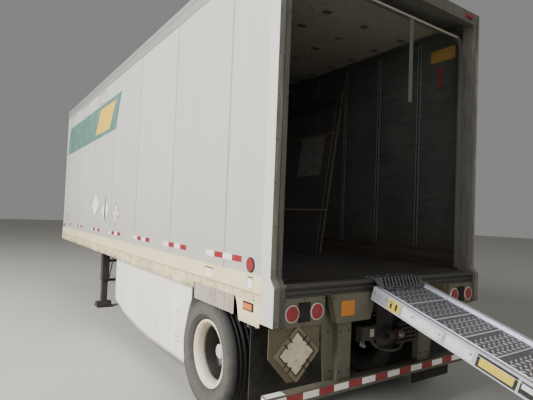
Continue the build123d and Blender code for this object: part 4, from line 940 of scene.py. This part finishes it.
class SCENE_OT_trailer_rivets(bpy.types.Operator):
    """Drives the rivet rows along the seams, rails and rear frame"""
    bl_idname = "trailer.rivets"
    bl_label = "Rivets and bolts"

    def execute(self, context):
        pitch = context.scene.trailer.rivet_pitch
        finishes = (
            # Painted heads: the colour of what they hold, rubbed at the crown
            make_plain("painted aluminium rivet", "#c3c4bf", "#8a877e", 0.6, 0.4, 0.05),
            make_plain("cream painted bolt", "#c3b59c", "#7c5c40", 0.7, 0.5, 0.04),
        )
        # Oiled steel: dark, with rust at its edges
        steel = weathered("oiled steel bolt", "#57524a", "#3f372d", "#6b3d22", 0.6, 0.8, 0.6, 0.5, 0.004)
        lines = [(0.145, pitch)] + [(seam + shift, pitch) for seam in SEAMS for shift in (-0.018, 0.018)]
        lines += [(seam + PANEL / 2, 2 * pitch) for seam in SEAMS[:-1]]
        for side, s in SIDES:
            builder = bmesh.new()
            skin, face, foot, arch = (s * (y - SINK / 2) for y in (SKIN, RAIL_FACE, HALF_WIDTH, ARCH_FACE))

            def level(y, height, first, space):
                return row(at(first, y, height), at(8.3, y, height), space)

            seams = []
            for place, space in lines:
                seams += row(at(place, skin, RAIL_TOP + 0.02), at(place, skin, TOP_RAIL - 0.02), space)
            rails = level(face, RAIL_TOP - 0.018, 0.16, 1.5 * pitch) + level(face, TOP_RAIL + 0.03, 0.16, 1.5 * pitch)
            ledge = level(foot, LEDGE - 0.022, 0.2, 0.152) + level(foot, LEDGE - 0.05, 0.2, 0.305)
            gusset = [at(p, arch, z) for p, z in ((0.16, 0.93), (0.40, 0.93), (0.16, 1.07), (0.44, 1.07), (0.16, 1.0))]
            gusset += spots((0.53, 0.68, 0.73, 0.88, 0.93, 1.2), (arch,), (1.09, 0.96))
            post = spots((0.03, 0.09), (face,), (1.0, 1.1, 1.2, 3.85, 3.92))
            for points, finish, shape in (
                (seams, 0, (0.0065, 0.0035, 0.0024)), (rails, 1, (0.0065, 0.004, 0.0026)),
                (ledge, 1, (0.0095, 0.0085, 0.005)), (gusset, 1, (0.007, 0.005, 0.003)),
                (post, 0, (0.0075, 0.006, 0.004)),
            ):
                heads(builder, points, (0, s, 0), finishes[finish], shape, finish)
            finished(f"side_rivets_{side}", builder, "root", "side_panel", *finishes)
        # Header, sill, centre box and crossmember; then panels, posts, guard arms and flap brackets on each side
        groups = [
            (row(at(0.0002, -1.15, 3.945), at(0.0002, 1.15, 3.945), 0.15), (0.006, 0.0045, 0.003)),
            (row(at(-0.0548, -1.15, 1.256), at(-0.0548, 1.15, 1.256), 0.23), (0.008, 0.0065, 0.0025)),
            (spots((-0.0378,), (0.25, 0.705), (0.965, 1.14)) + spots((0.0602,), (-0.1, 0.09), (0.75, 1.1))
             + [at(0.0602, -0.37, 0.75)], (0.0095, 0.0085, 0.006)),
        ]
        for side, s in SIDES:
            post = spots((-0.0498,), (s * 1.21, s * 1.27), (1.0, 1.22))
            for y in (s * 1.275, s * 1.205):
                post += row(at(0.0002, y, 1.36), at(0.0002, y, 3.9), 0.30)
            arm = spots((0.0302,), (s * 0.465, s * 0.56), (0.53, 0.85, 1.1))
            arm += [at(0.0782, s * (0.62 + (z - 0.46) * 0.08), z) for z in (0.53, 0.85, 1.1)]
            groups += [
                (spots((-0.0398,), (s * 0.815, s * 1.0, s * 1.175), (0.972, 1.148)), (0.0065, 0.005, 0.004)),
                (post, (0.007, 0.005, 0.003)), (arm, (0.0095, 0.0085, 0.006)),
                (row(at(0.2552, s * 0.70, 0.90), at(0.2552, s * 1.23, 0.90), 0.13), (0.0095, 0.008, 0.005)),
            ]
        builder = bmesh.new()
        for points, shape in groups:
            heads(builder, points, REARWARD, steel, shape)
        finished("rear_bolts", builder, "root", "dark_steel", steel)
        return {"FINISHED"}


class SCENE_OT_trailer_lamps(bpy.types.Operator):
    """Makes the round tail lamps with their white rings and gaskets, the centre plates and the marker bezels"""
    bl_idname = "trailer.lamps"
    bl_label = "Lamps"

    def execute(self, context):
        # Acrylic: red or amber with a wet gloss; the ring is matt white gone pink with dust; the rubber is black
        lens = make_lens("moulded acrylic red", "#960f1d")
        ring_white = make_plain("white moulded ring", "#cdbcb2", "#8f6f64", 0.7, 0.4, 0.02)
        gasket = make_rubber("moulded lamp gasket", "#161616", "#3d3831", 0.4)
        amber = make_lens("moulded acrylic amber", "#d0762a")
        builder = bmesh.new()
        # Distance out of the panel and radius
        dome = ((0.0, 0.0), (0.0, 0.0565), (0.0085, 0.0565), (0.0115, 0.052), (0.0125, 0.0465), (0.0118, 0.0445),
                (0.0128, 0.0425), (0.0136, 0.028), (0.0130, 0.026), (0.0138, 0.024), (0.0142, 0.0))
        bezel = ((0.0, 0.0655), (0.0, 0.056), (0.0105, 0.056), (0.0118, 0.059), (0.0105, 0.0635), (0.004, 0.0655))
        marker = ((0.0, 0.0585), (0.0, 0.0505), (0.006, 0.0505), (0.0082, 0.053), (0.006, 0.0585))
        for y in LAMP_PLACES:
            lathe(builder, dome, at(LAMP_FACE, y, LAMP_HEIGHT), REARWARD, 40)
            lathe(builder, bezel, at(LAMP_FACE, y, LAMP_HEIGHT), REARWARD, 40, 1, closed=True)
        lamps = finished("round_tail_lamps", builder, "root", "red_lens", lens, ring_white)
        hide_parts("tail_lamps")
        builder, lenses = bmesh.new(), bmesh.new()
        for side, s in SIDES:
            for wide, tall, proud in ((0.058, 0.0725, 0.003), (0.046, 0.0605, 0.008)):
                rear_plate(builder, rectangle((s - wide, 1.0575 - tall), (s + wide, 1.0575 + tall)), LAMP_FACE, proud)
            screws = spots((LAMP_FACE - 0.0028,), (s - 0.051, s + 0.051), (0.992, 1.123))
            heads(builder, screws, REARWARD, gasket, (0.004, 0.003, 0.003))
            lathe(builder, marker, at(0.274, s * (SKIN - SINK), MARKER_HEIGHT), (0, s, 0), 36, closed=True)
            # Square markers: middle; half sizes, width, height and face of the gasket; half sizes and face of the lens
            for (p, z), wide, tall, width, proud, face, lens_wide, lens_tall, lens_face in (
                ((NOSE_MARKER, MARKER_HEIGHT), 0.058, 0.03, 0.007, 0.006, SKIN, 0.048, 0.021, SKIN + 0.0095),
                (GUSSET_MARKER, 0.075, 0.033, 0.008, 0.005, ARCH_FACE, 0.064, 0.022, HALF_WIDTH),
            ):
                for strip in border(rectangle((p - wide, z - tall), (p + wide, z + tall)), width):
                    side_plate(builder, s, strip, proud, 0, face)
                glass = rectangle((p - lens_wide, z - lens_tall), (p + lens_wide, z + lens_tall))
                side_plate(lenses, s, glass, 0.003, 0, lens_face)
        finished("lamp_gaskets", builder, "root", "black_rubber", gasket)
        finished("amber_lenses", lenses, "root", "red_lens", amber)
        return {"FINISHED"}


class SCENE_OT_trailer_skirts(bpy.types.Operator):
    """Makes the side skirts as slightly buckled sheets on their struts"""
    bl_idname = "trailer.skirts"
    bl_label = "Side skirts"

    def execute(self, context):
        # Enamelled sheet: nearly white with a low gloss; the struts behind it are dull zinc
        sheet = weathered("off-white enamel sheet", "#fcf7e8", "#b3a88f", "#7d5a3a", 0.2, 0.15, 0.3)
        strut = weathered("galvanised skirt strut", "#8c8d8b", "#5f5a52", "#63503c", 0.4, 0.2, 0.45, 0.5)
        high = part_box("side_skirts")[1]
        foot, tip, columns, rows = 1.542, 4.07, 60, 20
        # The rear edge clears the tyre, the lower edge sweeps up to the front: place and height
        rear_edge = ((1.43, high.z), (1.43, 0.90), (1.47, 0.84), (1.52, 0.72), (1.543, 0.56), (foot, 0.245))
        lower = ((foot, 0.245), (2.6, 0.236), (3.0, 0.255), (3.3, 0.282), (3.57, 0.318), (3.8, 0.358), (4.0, 0.412),
                 (tip, 0.46))

        def along(line, value, key):
            """The other coordinate of a line of points where one of them has a value."""
            for a, b in zip(line, line[1:]):
                lo, hi = sorted((a[key], b[key]))
                if lo - 1e-6 <= value <= hi + 1e-6 and hi - lo > 1e-6:
                    return a[1 - key] + (b[1 - key] - a[1 - key]) * (value - a[key]) / (b[key] - a[key])
            return line[-1][1 - key]

        def buckle(place, height):
            """How far the sheet bulges, with the crease near its front."""
            return (
                0.0045 * sin(place * 3.3 + 0.4) * sin((height - 0.2) * 3.1)
                + 0.003 * sin(place * 9.0 + height * 4.0) * max(0.0, 0.75 - height)
                - 0.010 * max(0.0, 1 - abs(place - 3.86) / 0.16)
            )

        def sheet_point(i, j, depth):
            """Heights run from the swept lower edge to the top, places from the rear edge to the front."""
            bottom = along(lower, foot + (tip - foot) * i / columns, 0)
            height = bottom + (high.z - bottom) * j / rows
            rear = along(rear_edge, max(height, 0.245), 1)
            place = rear + (tip + 0.02 * j / rows - rear) * i / columns
            return place, min(high.y - 0.001 + buckle(place, height) - depth, high.y + 0.006), height

        edge = [(j, 0) for j in range(rows)] + [(rows, i) for i in range(columns)]
        edge += [(rows - j, columns) for j in range(rows)] + [(0, columns - i) for i in range(columns)]
        for side, s in SIDES:
            builder = bmesh.new()
            grids = []
            for depth in (0.0, 0.004):
                grid = []
                for j in range(rows + 1):
                    line = [sheet_point(i, j, depth) for i in range(columns + 1)]
                    grid.append([builder.verts.new(at(p, s * y, z)) for p, y, z in line])
                for a, b in zip(grid, grid[1:]):
                    for corners in zip(a, a[1:], b[1:], b):
                        builder.faces.new(corners if depth == 0.0 else corners[::-1]).smooth = True
                grids.append(grid)
            outer, inner = grids
            for (j0, i0), (j1, i1) in zip(edge, edge[1:] + edge[:1]):
                builder.faces.new([outer[j0][i0], outer[j1][i1], inner[j1][i1], inner[j0][i0]])
            for place in (1.75, 2.35, 2.95, 3.55):
                low = at(place - 0.02, s * (high.y - 0.046), along(lower, place, 0) + 0.02)
                block(builder, low, at(place + 0.02, s * (high.y - 0.009), high.z), 1)
            y, level = s * (high.y - 0.0005), high.z - 0.105
            points = row(at(1.56, y, level), at(3.9, y, level), 0.2)
            for p, z in ((p, z) for p in (1.72, 1.78, 2.33) for z in (0.42, 0.47, 0.72)):
                points.append(at(p, s * (high.y + 0.0005 + buckle(p, z)), z))
            heads(builder, points, (0, s, 0), strut, (0.008, 0.006, 0.004), 1)
            piece = finished(f"buckled_skirt_{side}", builder, "root", "white_skirt", sheet, strut)
            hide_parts("side_skirts")
        return {"FINISHED"}


class SCENE_OT_trailer_placard(bpy.types.Operator):
    """Adds the placard holder's inner frame, fold, clips and corner rivets"""
    bl_idname = "trailer.placard"
    bl_label = "Placard holder"

    def execute(self, context):
        # Bent sheet: bright along its fold; the slots behind it are nearly black
        edge = weathered("bent aluminium edge", "#a99f8a", "#5f5644", "#6b4326", 0.8, 0.5, 0.5, 0.3)
        dark = make_plain("shadowed slot", "#3b362c", "#5a5243", 0.5, 0.8, 0.03)
        low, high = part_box("placard_holder")
        middle, level = (low.y + high.y) / 2, (low.z + high.z) / 2
        reach = (high.y - low.y) / 2 - 0.006
        builder = bmesh.new()
        for inset, width, face, proud, finish in (
            (0.002, 0.006, -0.012, 0.0015, 0), (0.02, 0.004, -0.012, 0.0015, 0), (0.030, 0.009, -0.005, 0.0035, 1),
        ):
            for strip in border(diamond(middle, level, reach - inset, reach - inset), width):
                rear_plate(builder, strip, face, proud, finish)
        # A pair of clips half way along each edge
        for sy, sz in ((-1, -1), (-1, 1), (1, -1), (1, 1)):
            along, across = Vector((0, sy, -sz)) * 0.7071, Vector((0, sy, sz)) * 0.7071
            for shift in (-0.028, 0.028):
                spot = at(-0.0115, middle + sy * reach / 2, level + sz * reach / 2) + along * shift
                clip = [spot + along * a + across * b for a, b in rectangle((-0.007, -0.042), (0.007, 0.006))]
                slab(builder, clip, REARWARD, 0.003, 1)
        corners = [at(-0.0118, y, z) for y, z in diamond(middle, level, reach - 0.026, reach - 0.026)]
        heads(builder, corners, REARWARD, edge, (0.006, 0.004, 0.003))
        finished("placard_edges", builder, "root", "placard_aluminium", edge, dark)
        return {"FINISHED"}


class SCENE_OT_trailer_ramp_detail(bpy.types.Operator):
    """Adds the ramp's tread bars, seam strips, bolt holes, beads, blank stickers and the apron's slats"""
    bl_idname = "trailer.ramp_detail"
    bl_label = "Ramp detail"

    def execute(self, context):
        pitch = context.scene.trailer.tread_pitch
        # Ramp alloy: edges polished bright; kerbs ribbed, their cool blue a painted sky reflection; kerbs and treads
        # brighter down the ramp's lower part, a painted highlight
        bright = make_plain("worn bright aluminium edge", "#c3c5d2", "#8d8c92", 0.4, 0.35, 0.02, 0.3)
        kerb = make_aluminium("ribbed kerb aluminium", "#6c748e", "#5d5e66", 0.4, 0.003, sunlit="#989dad")
        tread = make_aluminium("trodden tread aluminium", "#8b898a", "#5b5751", 0.35, 0.003, sunlit="#e6e4e0")
        # Stickers: flat colour, rubbed and dusty; the holes between them are nearly black
        hole = make_plain("dark hole", "#17171a", "#2a2826", 0.4, 0.8, 0.02)
        yellow = make_plain("yellow vinyl sticker", "#c9b23c", "#8d8453", 0.5, 0.5, 0.02)
        white = make_plain("white vinyl sticker", "#d6d4cf", "#8f8b84", 0.7, 0.5, 0.03)
        black = make_plain("black vinyl sticker", "#1b1b1a", "#55524c", 0.5, 0.5, 0.03)
        builder, stickers = bmesh.new(), bmesh.new()
        deck_half = RAMP_HALF - 0.042
        last = RAMP_LENGTH - 0.06
        # Two interleaved sets of bars, leaning opposite ways, with the planks' joints left free
        for lean, shift in ((1, 0.0), (-1, 0.5)):
            points = []
            for along in (0.03 + i * pitch for i in range(int(last / pitch))):
                for k in range(int(2 * deck_half / pitch) + 1):
                    y = -deck_half + (k + 0.5 + shift) * pitch
                    if abs(y) < deck_half - 0.01 and 0.022 <= along % PLANK <= PLANK - 0.022:
                        points.append(on_ramp(along + shift * pitch, y, DECK - 0.0003))
            direction = RAMP_DOWN * 0.75 + Vector((0, lean, 0))
            heads(builder, points, RAMP_OUT, tread, (0.0112, 0.0062, 0.0042), 0, 4, direction, (2.3, 0.9, 1))
        for index in range(1, int(last / PLANK) + 1):
            strip = rectangle((index * PLANK - 0.006, -deck_half), (index * PLANK + 0.006, deck_half))
            slab(builder, [on_ramp(a, y, DECK - SINK) for a, y in strip], RAMP_OUT, 0.004, 1)
        for s in (1, -1):
            face = s * (RAMP_HALF - SINK)

            def beam_plate(target, low, high, proud, material):
                """A thin plate on the beam's outer side, between two places down the ramp and out of its top."""
                outline = [on_ramp(a, face, o) for a, o in rectangle(low, high)]
                slab(target, outline, (0, s, 0), SINK + proud, material)

            # Rolled beads along the beam's top and foot, and one inside the deck edge
            for low, high, proud in ((-0.010, -0.002, 0.0025), (-0.112, -0.104, 0.0025), (-0.033, -0.030, 0.0015)):
                beam_plate(builder, (-0.04, low), (3.70, high), proud, 1)
            bolts = [on_ramp(-0.025 + i * 0.06, face, -0.045) for i in range(4)]
            bolts += [on_ramp(0.12 + i * PLANK, face, -0.052) for i in range(15)]
            heads(builder, bolts, (0, s, 0), hole, (0.0095, 0.009, 0.0012), 2, sides=14)
            heads(builder, bolts, (0, s, 0), bright, (0.006, 0.005, 0.004), 1, sides=8)
            # Ribbed kerb strip between the beam's top and the deck's edge; its bluish tone is a painted sky reflection
            # that widens the light band there
            start, end, foot = s * (RAMP_HALF - 0.041), s * (RAMP_HALF - 0.088), DECK - SINK
            wedge = ((start, -0.0005), (start, foot), (end, foot), (end, DECK + 0.002))
            slab(builder, [on_ramp(-0.02, y, o) for y, o in wedge], RAMP_DOWN, 3.72, 3)
            for share in (0.15, 0.38, 0.61, 0.84):
                y, o = start + (end - start) * share, -0.0005 + (DECK + 0.0025) * share
                profile = ((0.0022, 0.0), (-0.0022, -0.001), (-0.0012, 0.0025), (0.0012, 0.003))
                slab(builder, [on_ramp(-0.02, y + a * s, o + b) for a, b in profile], RAMP_DOWN, 3.72, 1)
            # Stickers: a yellow one with two dark marks, two white ones, a black one with a yellow field, a black one
            for low, high, proud, finish in (
                ((0.125, -0.104), (0.240, -0.012), 0.0010, 0), ((0.262, -0.098), (0.62, -0.020), 0.0008, 1),
                ((0.65, -0.098), (0.86, -0.020), 0.0008, 1), ((0.885, -0.104), (1.150, -0.014), 0.0008, 2),
                ((0.905, -0.090), (1.130, -0.030), 0.0014, 0), ((1.165, -0.098), (1.30, -0.020), 0.0010, 2),
                ((1.175, -0.064), (1.29, -0.030), 0.0014, 1),
            ):
                beam_plate(stickers, low, high, proud, finish)
            marks = [on_ramp(along, face, -0.058) for along in (0.155, 0.205)]
            heads(stickers, marks, (0, s, 0), black, (0.011, 0.011, 0.0016), 2, 20, RAMP_OUT, (3.0, 1, 1))
        finished("ramp_tread", builder, "ramp", "ramp_aluminium", tread, bright, hole, kerb)
        finished("ramp_stickers", stickers, "ramp", "ramp_aluminium", yellow, white, black)
        builder = bmesh.new()
        # Slanted slats with dark slots, over the apron's flat and its slope: places, heights and the way out of each
        apron_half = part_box("ramp_apron")[1].y - 0.008
        for head, foot, top, low, out in (
            (0.02, -0.056, 1.2778, 1.2778, (0, 0, 1)), (-0.0605, -0.138, 1.2757, 1.2129, (-0.629, 0, 0.777)),
        ):
            for i in range(-4, 12):
                for shift, wide, proud, material in ((0.0, 0.008, 0.0032, 0), (0.012, 0.022, 0.0009, 2)):
                    y = -0.265 + i * 0.044 + shift
                    corners = [
                        at(place, y + extra + (0.02 - place) * 0.8, level)
                        for place, level, extra in (
                            (head, top, 0.0), (head, top, wide), (foot, low, wide), (foot, low, 0.0),
                        )
                    ]
                    if max(abs(c.y) for c in corners) < apron_half:
                        slab(builder, corners, out, proud, material)
        rivets = spots((0.045,), (-0.26, -0.13, 0.0, 0.13, 0.26), (1.2775,))
        heads(builder, rivets, (0, 0, 1), bright, (0.008, 0.005, 0.003), 1)
        finished("apron_louvres", builder, "root", "ramp_aluminium", tread, bright, hole)
        return {"FINISHED"}


class SCENE_OT_trailer_interior(bpy.types.Operator):
    """Adds the slotted liner posts, the blank decals, the leaning board's edges and the pull strap inside"""
    bl_idname = "trailer.interior"
    bl_label = "Interior detail"

    def execute(self, context):
        # Zinc strips catch what light there is; the decals are dulled film, the ply edge raw and pale
        steel = weathered("galvanised liner strip", "#d3d8d6", "#5f5b52", "#6b4a33", 0.4, 0.3, 0.4, 0.5)
        slot = make_plain("dark slot", "#121313", "#2c2b29", 0.3, 0.8, 0.02)
        yellow = make_plain("yellow vinyl decal", "#b3914f", "#7a643e", 0.6, 0.5, 0.03)
        red = make_plain("red vinyl decal", "#84413f", "#6b4a44", 0.5, 0.5, 0.03)
        pale = make_plain("scuffed pale stencil", "#85847f", "#57534f", 1.0, 0.8, 0.06)
        bright = make_plain("raw plywood edge", "#a3927a", "#665848", 0.7, 0.8, 0.03)
        # Polyester webbing: matt grey, its weave too fine to show at this distance
        webbing = make_plain("woven polyester strap", "#6b6a64", "#3c3a36", 0.6, 0.8, 0.01)
        builder = bmesh.new()
        for side, s in SIDES:
            face = s * (POST_LINER + SINK)
            for middle in (SEAMS[0] + PANEL / 2 * i for i in range(13)):
                for shift in (-0.0205, 0.0165):
                    strip = rectangle((middle + shift, 1.47), (middle + shift + 0.004, 3.85))
                    slab(builder, [at(d, face, z) for d, z in strip], (0, -s, 0), 0.0016)
                points = row(at(middle, face, 1.52), at(middle, face, 3.8), 0.076)
                heads(builder, points, (0, -s, 0), slot, (0.0065, 0.0065, 0.0009), 1, 8, stretch=(3.2, 1, 1))
        for low, high, finish in (((0.24, 3.58), (0.55, 3.72), 2), ((0.395, 3.29), (0.464, 3.53), 3)):
            slab(builder, [at(d, -LINER - SINK, z) for d, z in rectangle(low, high)], (0, 1, 0), SINK + 0.0008, finish)
        # Leaning board: side place and height of its foot, and its lean; then a raw edge, a batten, a seam and a
        # pale blank field, with places along the board and up it
        foot_y, foot_z, lean_y, lean_z = -0.8899, 1.2719, -0.1416, 0.9899
        for low, high, proud, finish in (
            ((1.9605, 0.01), (1.972, 2.33), 0.0015, 5), ((1.975, 0.588), (2.93, 0.612), 0.010, 5),
            ((1.975, 1.706), (2.92, 1.716), 0.004, 5), ((2.20, 1.11), (2.72, 1.69), 0.0012, 4),
        ):
            outline = [at(d, foot_y + lean_y * up, foot_z + lean_z * up) for d, up in rectangle(low, high)]
            slab(builder, outline, (0, lean_z, -lean_y), SINK + proud, finish)
        finished("liner_detail", builder, "root", "galvanised", steel, slot, yellow, red, pale, bright)
        builder = bmesh.new()
        strap = [at(0.1773, y, z) for y, z in ((-0.437, 2.92), (-0.382, 2.92), (-0.384, 3.752), (-0.434, 3.752))]
        slab(builder, strap, REARWARD, 0.0046)
        heads(builder, spots((0.1725,), (-0.41,), (2.95, 3.72)), REARWARD, webbing, (0.012, 0.010, 0.003), sides=10)
        piece = finished("door_pull_strap", builder, "root", "black_rubber", webbing)
        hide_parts("pull_strap")
        return {"FINISHED"}


class SCENE_OT_trailer_rear_detail(bpy.types.Operator):
    """Adds the formed air line, its couplings, the blank plates and the label at the rear"""
    bl_idname = "trailer.rear_detail"
    bl_label = "Rear lines and labels"

    def execute(self, context):
        finishes = (
            # Rubber hose: dark and matt under dust; zinc couplings with a dull glint
            make_rubber("moulded air line", "#3a3733", "#77706a", 0.7),
            weathered("zinc plated coupling", "#8b8c8c", "#5a5047", "#6b4326", 0.5, 0.5, 0.45, 0.7, 0.004),
            # Blank labels: flat orange and dusty white film; the cast block is brown with rust
            make_plain("orange vinyl label", "#c9822c", "#8c6a3c", 0.5, 0.5, 0.02),
            make_plain("white vinyl label", "#b9b2a4", "#7d766a", 0.6, 0.5, 0.02),
            weathered("rusted cast block", "#5a3f30", "#453224", "#7a3f24", 0.6, 0.8, 0.7),
        )
        builder = bmesh.new()
        route = [at(0.055, y, z) for y, z in (
            (0.173, 0.755), (0.15, 0.70), (0.09, 0.655), (0.016, 0.627), (-0.06, 0.608), (-0.119, 0.60), (-0.18, 0.603),
            (-0.225, 0.625), (-0.232, 0.66),
        )]
        tube(builder, smooth_path(route), 0.013, 12)
        # Couplings at the hose's ends, and two line fittings on hanger plates: distance along and radius
        coupling = ((0.0, 0.0), (0.0, 0.019), (0.022, 0.019), (0.026, 0.016), (0.04, 0.016), (0.04, 0.0))
        fitting = ((0.0, 0.0), (0.0, 0.017), (0.02, 0.017), (0.022, 0.012), (0.045, 0.012), (0.05, 0.0))
        plug = ((0.0, 0.0), (0.0, 0.03), (0.012, 0.03), (0.016, 0.022), (0.03, 0.022), (0.034, 0.0))
        for y, z in ((0.173, 0.752), (-0.232, 0.664)):
            lathe(builder, coupling, at(0.055, y, z - 0.014), (0, 0, 1), 12, 1)
        for y, z in ((0.268, 0.70), (0.30, 0.715)):
            lathe(builder, fitting, at(0.045, y, z - 0.02), (0, 0.2, 1), 12, 1)
            block(builder, at(0.04, y - 0.004, z), at(0.05, y + 0.004, 0.76), 1)
        block(builder, at(-0.02, -0.165, 0.715), at(0.03, -0.095, 0.80), 4)
        lathe(builder, plug, at(-0.01, -0.13, 0.757), REARWARD, 16, 1)
        # Blank orange label with a raised edge on the centre box, blank label on the small box
        label = rectangle((0.477, 0.99), (0.625, 1.11))
        rear_plate(builder, label, -0.038, 0.001, 2)
        for strip in border(label, 0.006):
            rear_plate(builder, strip, -0.038, 0.0016, 2)
        rear_plate(builder, rectangle((0.175, 0.765), (0.225, 0.83)), 0.02, 0.001, 3)
        finished("rear_lines", builder, "root", "dark_steel", *finishes)
        return {"FINISHED"}


class SCENE_OT_trailer_stage(bpy.types.Operator):
    """Adds the floor, the soft lights and the camera"""
    bl_idname = "trailer.stage"
    bl_label = "Set the stage"

    def execute(self, context):
        settings = context.scene.trailer_stage
        objects = context.scene.collection.objects
        builder = bmesh.new()
        slab(builder, [(x, y, -0.02) for x, y in rectangle((-60, -60), (60, 60))], (0, 0, 1), 0.0195)
        mesh = bpy.data.meshes.new("studio_floor")
        builder.to_mesh(mesh)
        builder.free()
        floor = bpy.data.objects.new("studio_floor", mesh)
        objects.link(floor)
        # Matt paper: a pale floor without a pattern
        mesh.materials.append(Finish("pale studio floor").close(linear("#b9b7b1"), 0.8))
        world = bpy.data.worlds.new("soft studio")
        context.scene.world = world
        world.use_nodes = True
        fill(world.node_tree, world.node_tree.nodes["Background"], {"Color": linear("#e8e8e4"), "Strength": 0.30})
        # Name, place, target, size and power of each soft light
        for name, place, target, size, power in (
            ("key", (0.0, 14.0, 9.0), (0.5, 0.0, 1.6), 8.0, 4800.0),
            ("rear_fill", (-12.0, 3.0, 6.0), (REAR, 0.0, 1.5), 7.0, 280.0),
        ):
            lamp = bpy.data.lights.new(name, "AREA")
            lamp.shape = "DISK"
            lamp.size = size
            lamp.energy = power
            light = bpy.data.objects.new(name, lamp)
            objects.link(light)
            light.location = place
            light.rotation_euler = (Vector(target) - Vector(place)).to_track_quat("-Z", "Y").to_euler()
        yaw, pitch, roll = settings.camera_yaw, settings.camera_pitch, settings.camera_roll
        ahead = Vector((cos(yaw) * cos(pitch), sin(yaw) * cos(pitch), sin(pitch)))
        right = Vector((sin(yaw), -cos(yaw), 0))
        above = right.cross(ahead)
        data = bpy.data.cameras.new("photo_camera")
        data.sensor_fit = "HORIZONTAL"
        data.sensor_width = 36.0
        data.lens = settings.focal_pixels * data.sensor_width / PHOTO_WIDTH
        data.clip_end = 200.0
        camera = bpy.data.objects.new("photo_camera", data)
        objects.link(camera)
        axes = (right * cos(roll) + above * sin(roll), above * cos(roll) - right * sin(roll), -ahead)
        place = Vector(settings.camera_place) + Vector((REAR, 0, 0))
        camera.matrix_world = Matrix.Translation(place) @ Matrix(axes).transposed().to_4x4()
        context.scene.camera = camera
        return {"FINISHED"}


class VIEW3D_PT_trailer(bpy.types.Panel):
    """Lists the trailer's settings and steps"""
    bl_label = "Van trailer"
    bl_idname = "VIEW3D_PT_trailer"
    bl_space_type = "VIEW_3D"
    bl_region_type = "UI"
    bl_category = "Van trailer"

    def draw(self, context):
        for group in (context.scene.trailer, context.scene.trailer_stage):
            for key in group.bl_rna.properties.keys():
                if key not in ("rna_type", "name"):
                    self.layout.prop(group, key)
        for operator in OPERATORS:
            self.layout.operator(operator.bl_idname)


GROUPS = (TrailerSettings, StageSettings)
OPERATORS = (
    SCENE_OT_trailer_stage,
    SCENE_OT_trailer_paint,
    SCENE_OT_trailer_tyres,
    SCENE_OT_trailer_rims,
    SCENE_OT_trailer_wheel_fasteners,
    SCENE_OT_trailer_livery,
    SCENE_OT_trailer_tape,
    SCENE_OT_trailer_rivets,
    SCENE_OT_trailer_lamps,
    SCENE_OT_trailer_skirts,
    SCENE_OT_trailer_placard,
    SCENE_OT_trailer_ramp_detail,
    SCENE_OT_trailer_interior,
    SCENE_OT_trailer_rear_detail,
)


def register():
    for item in GROUPS + OPERATORS + (VIEW3D_PT_trailer,):
        bpy.utils.register_class(item)
    bpy.types.Scene.trailer = PointerProperty(type=TrailerSettings)
    bpy.types.Scene.trailer_stage = PointerProperty(type=StageSettings)


def unregister():
    del bpy.types.Scene.trailer_stage
    del bpy.types.Scene.trailer
    for item in reversed(GROUPS + OPERATORS + (VIEW3D_PT_trailer,)):
        bpy.utils.unregister_class(item)


def main():
    register()
    for operator in OPERATORS:
        group, name = operator.bl_idname.split(".")
        getattr(getattr(bpy.ops, group), name)()


if __name__ == "__main__":
    main()
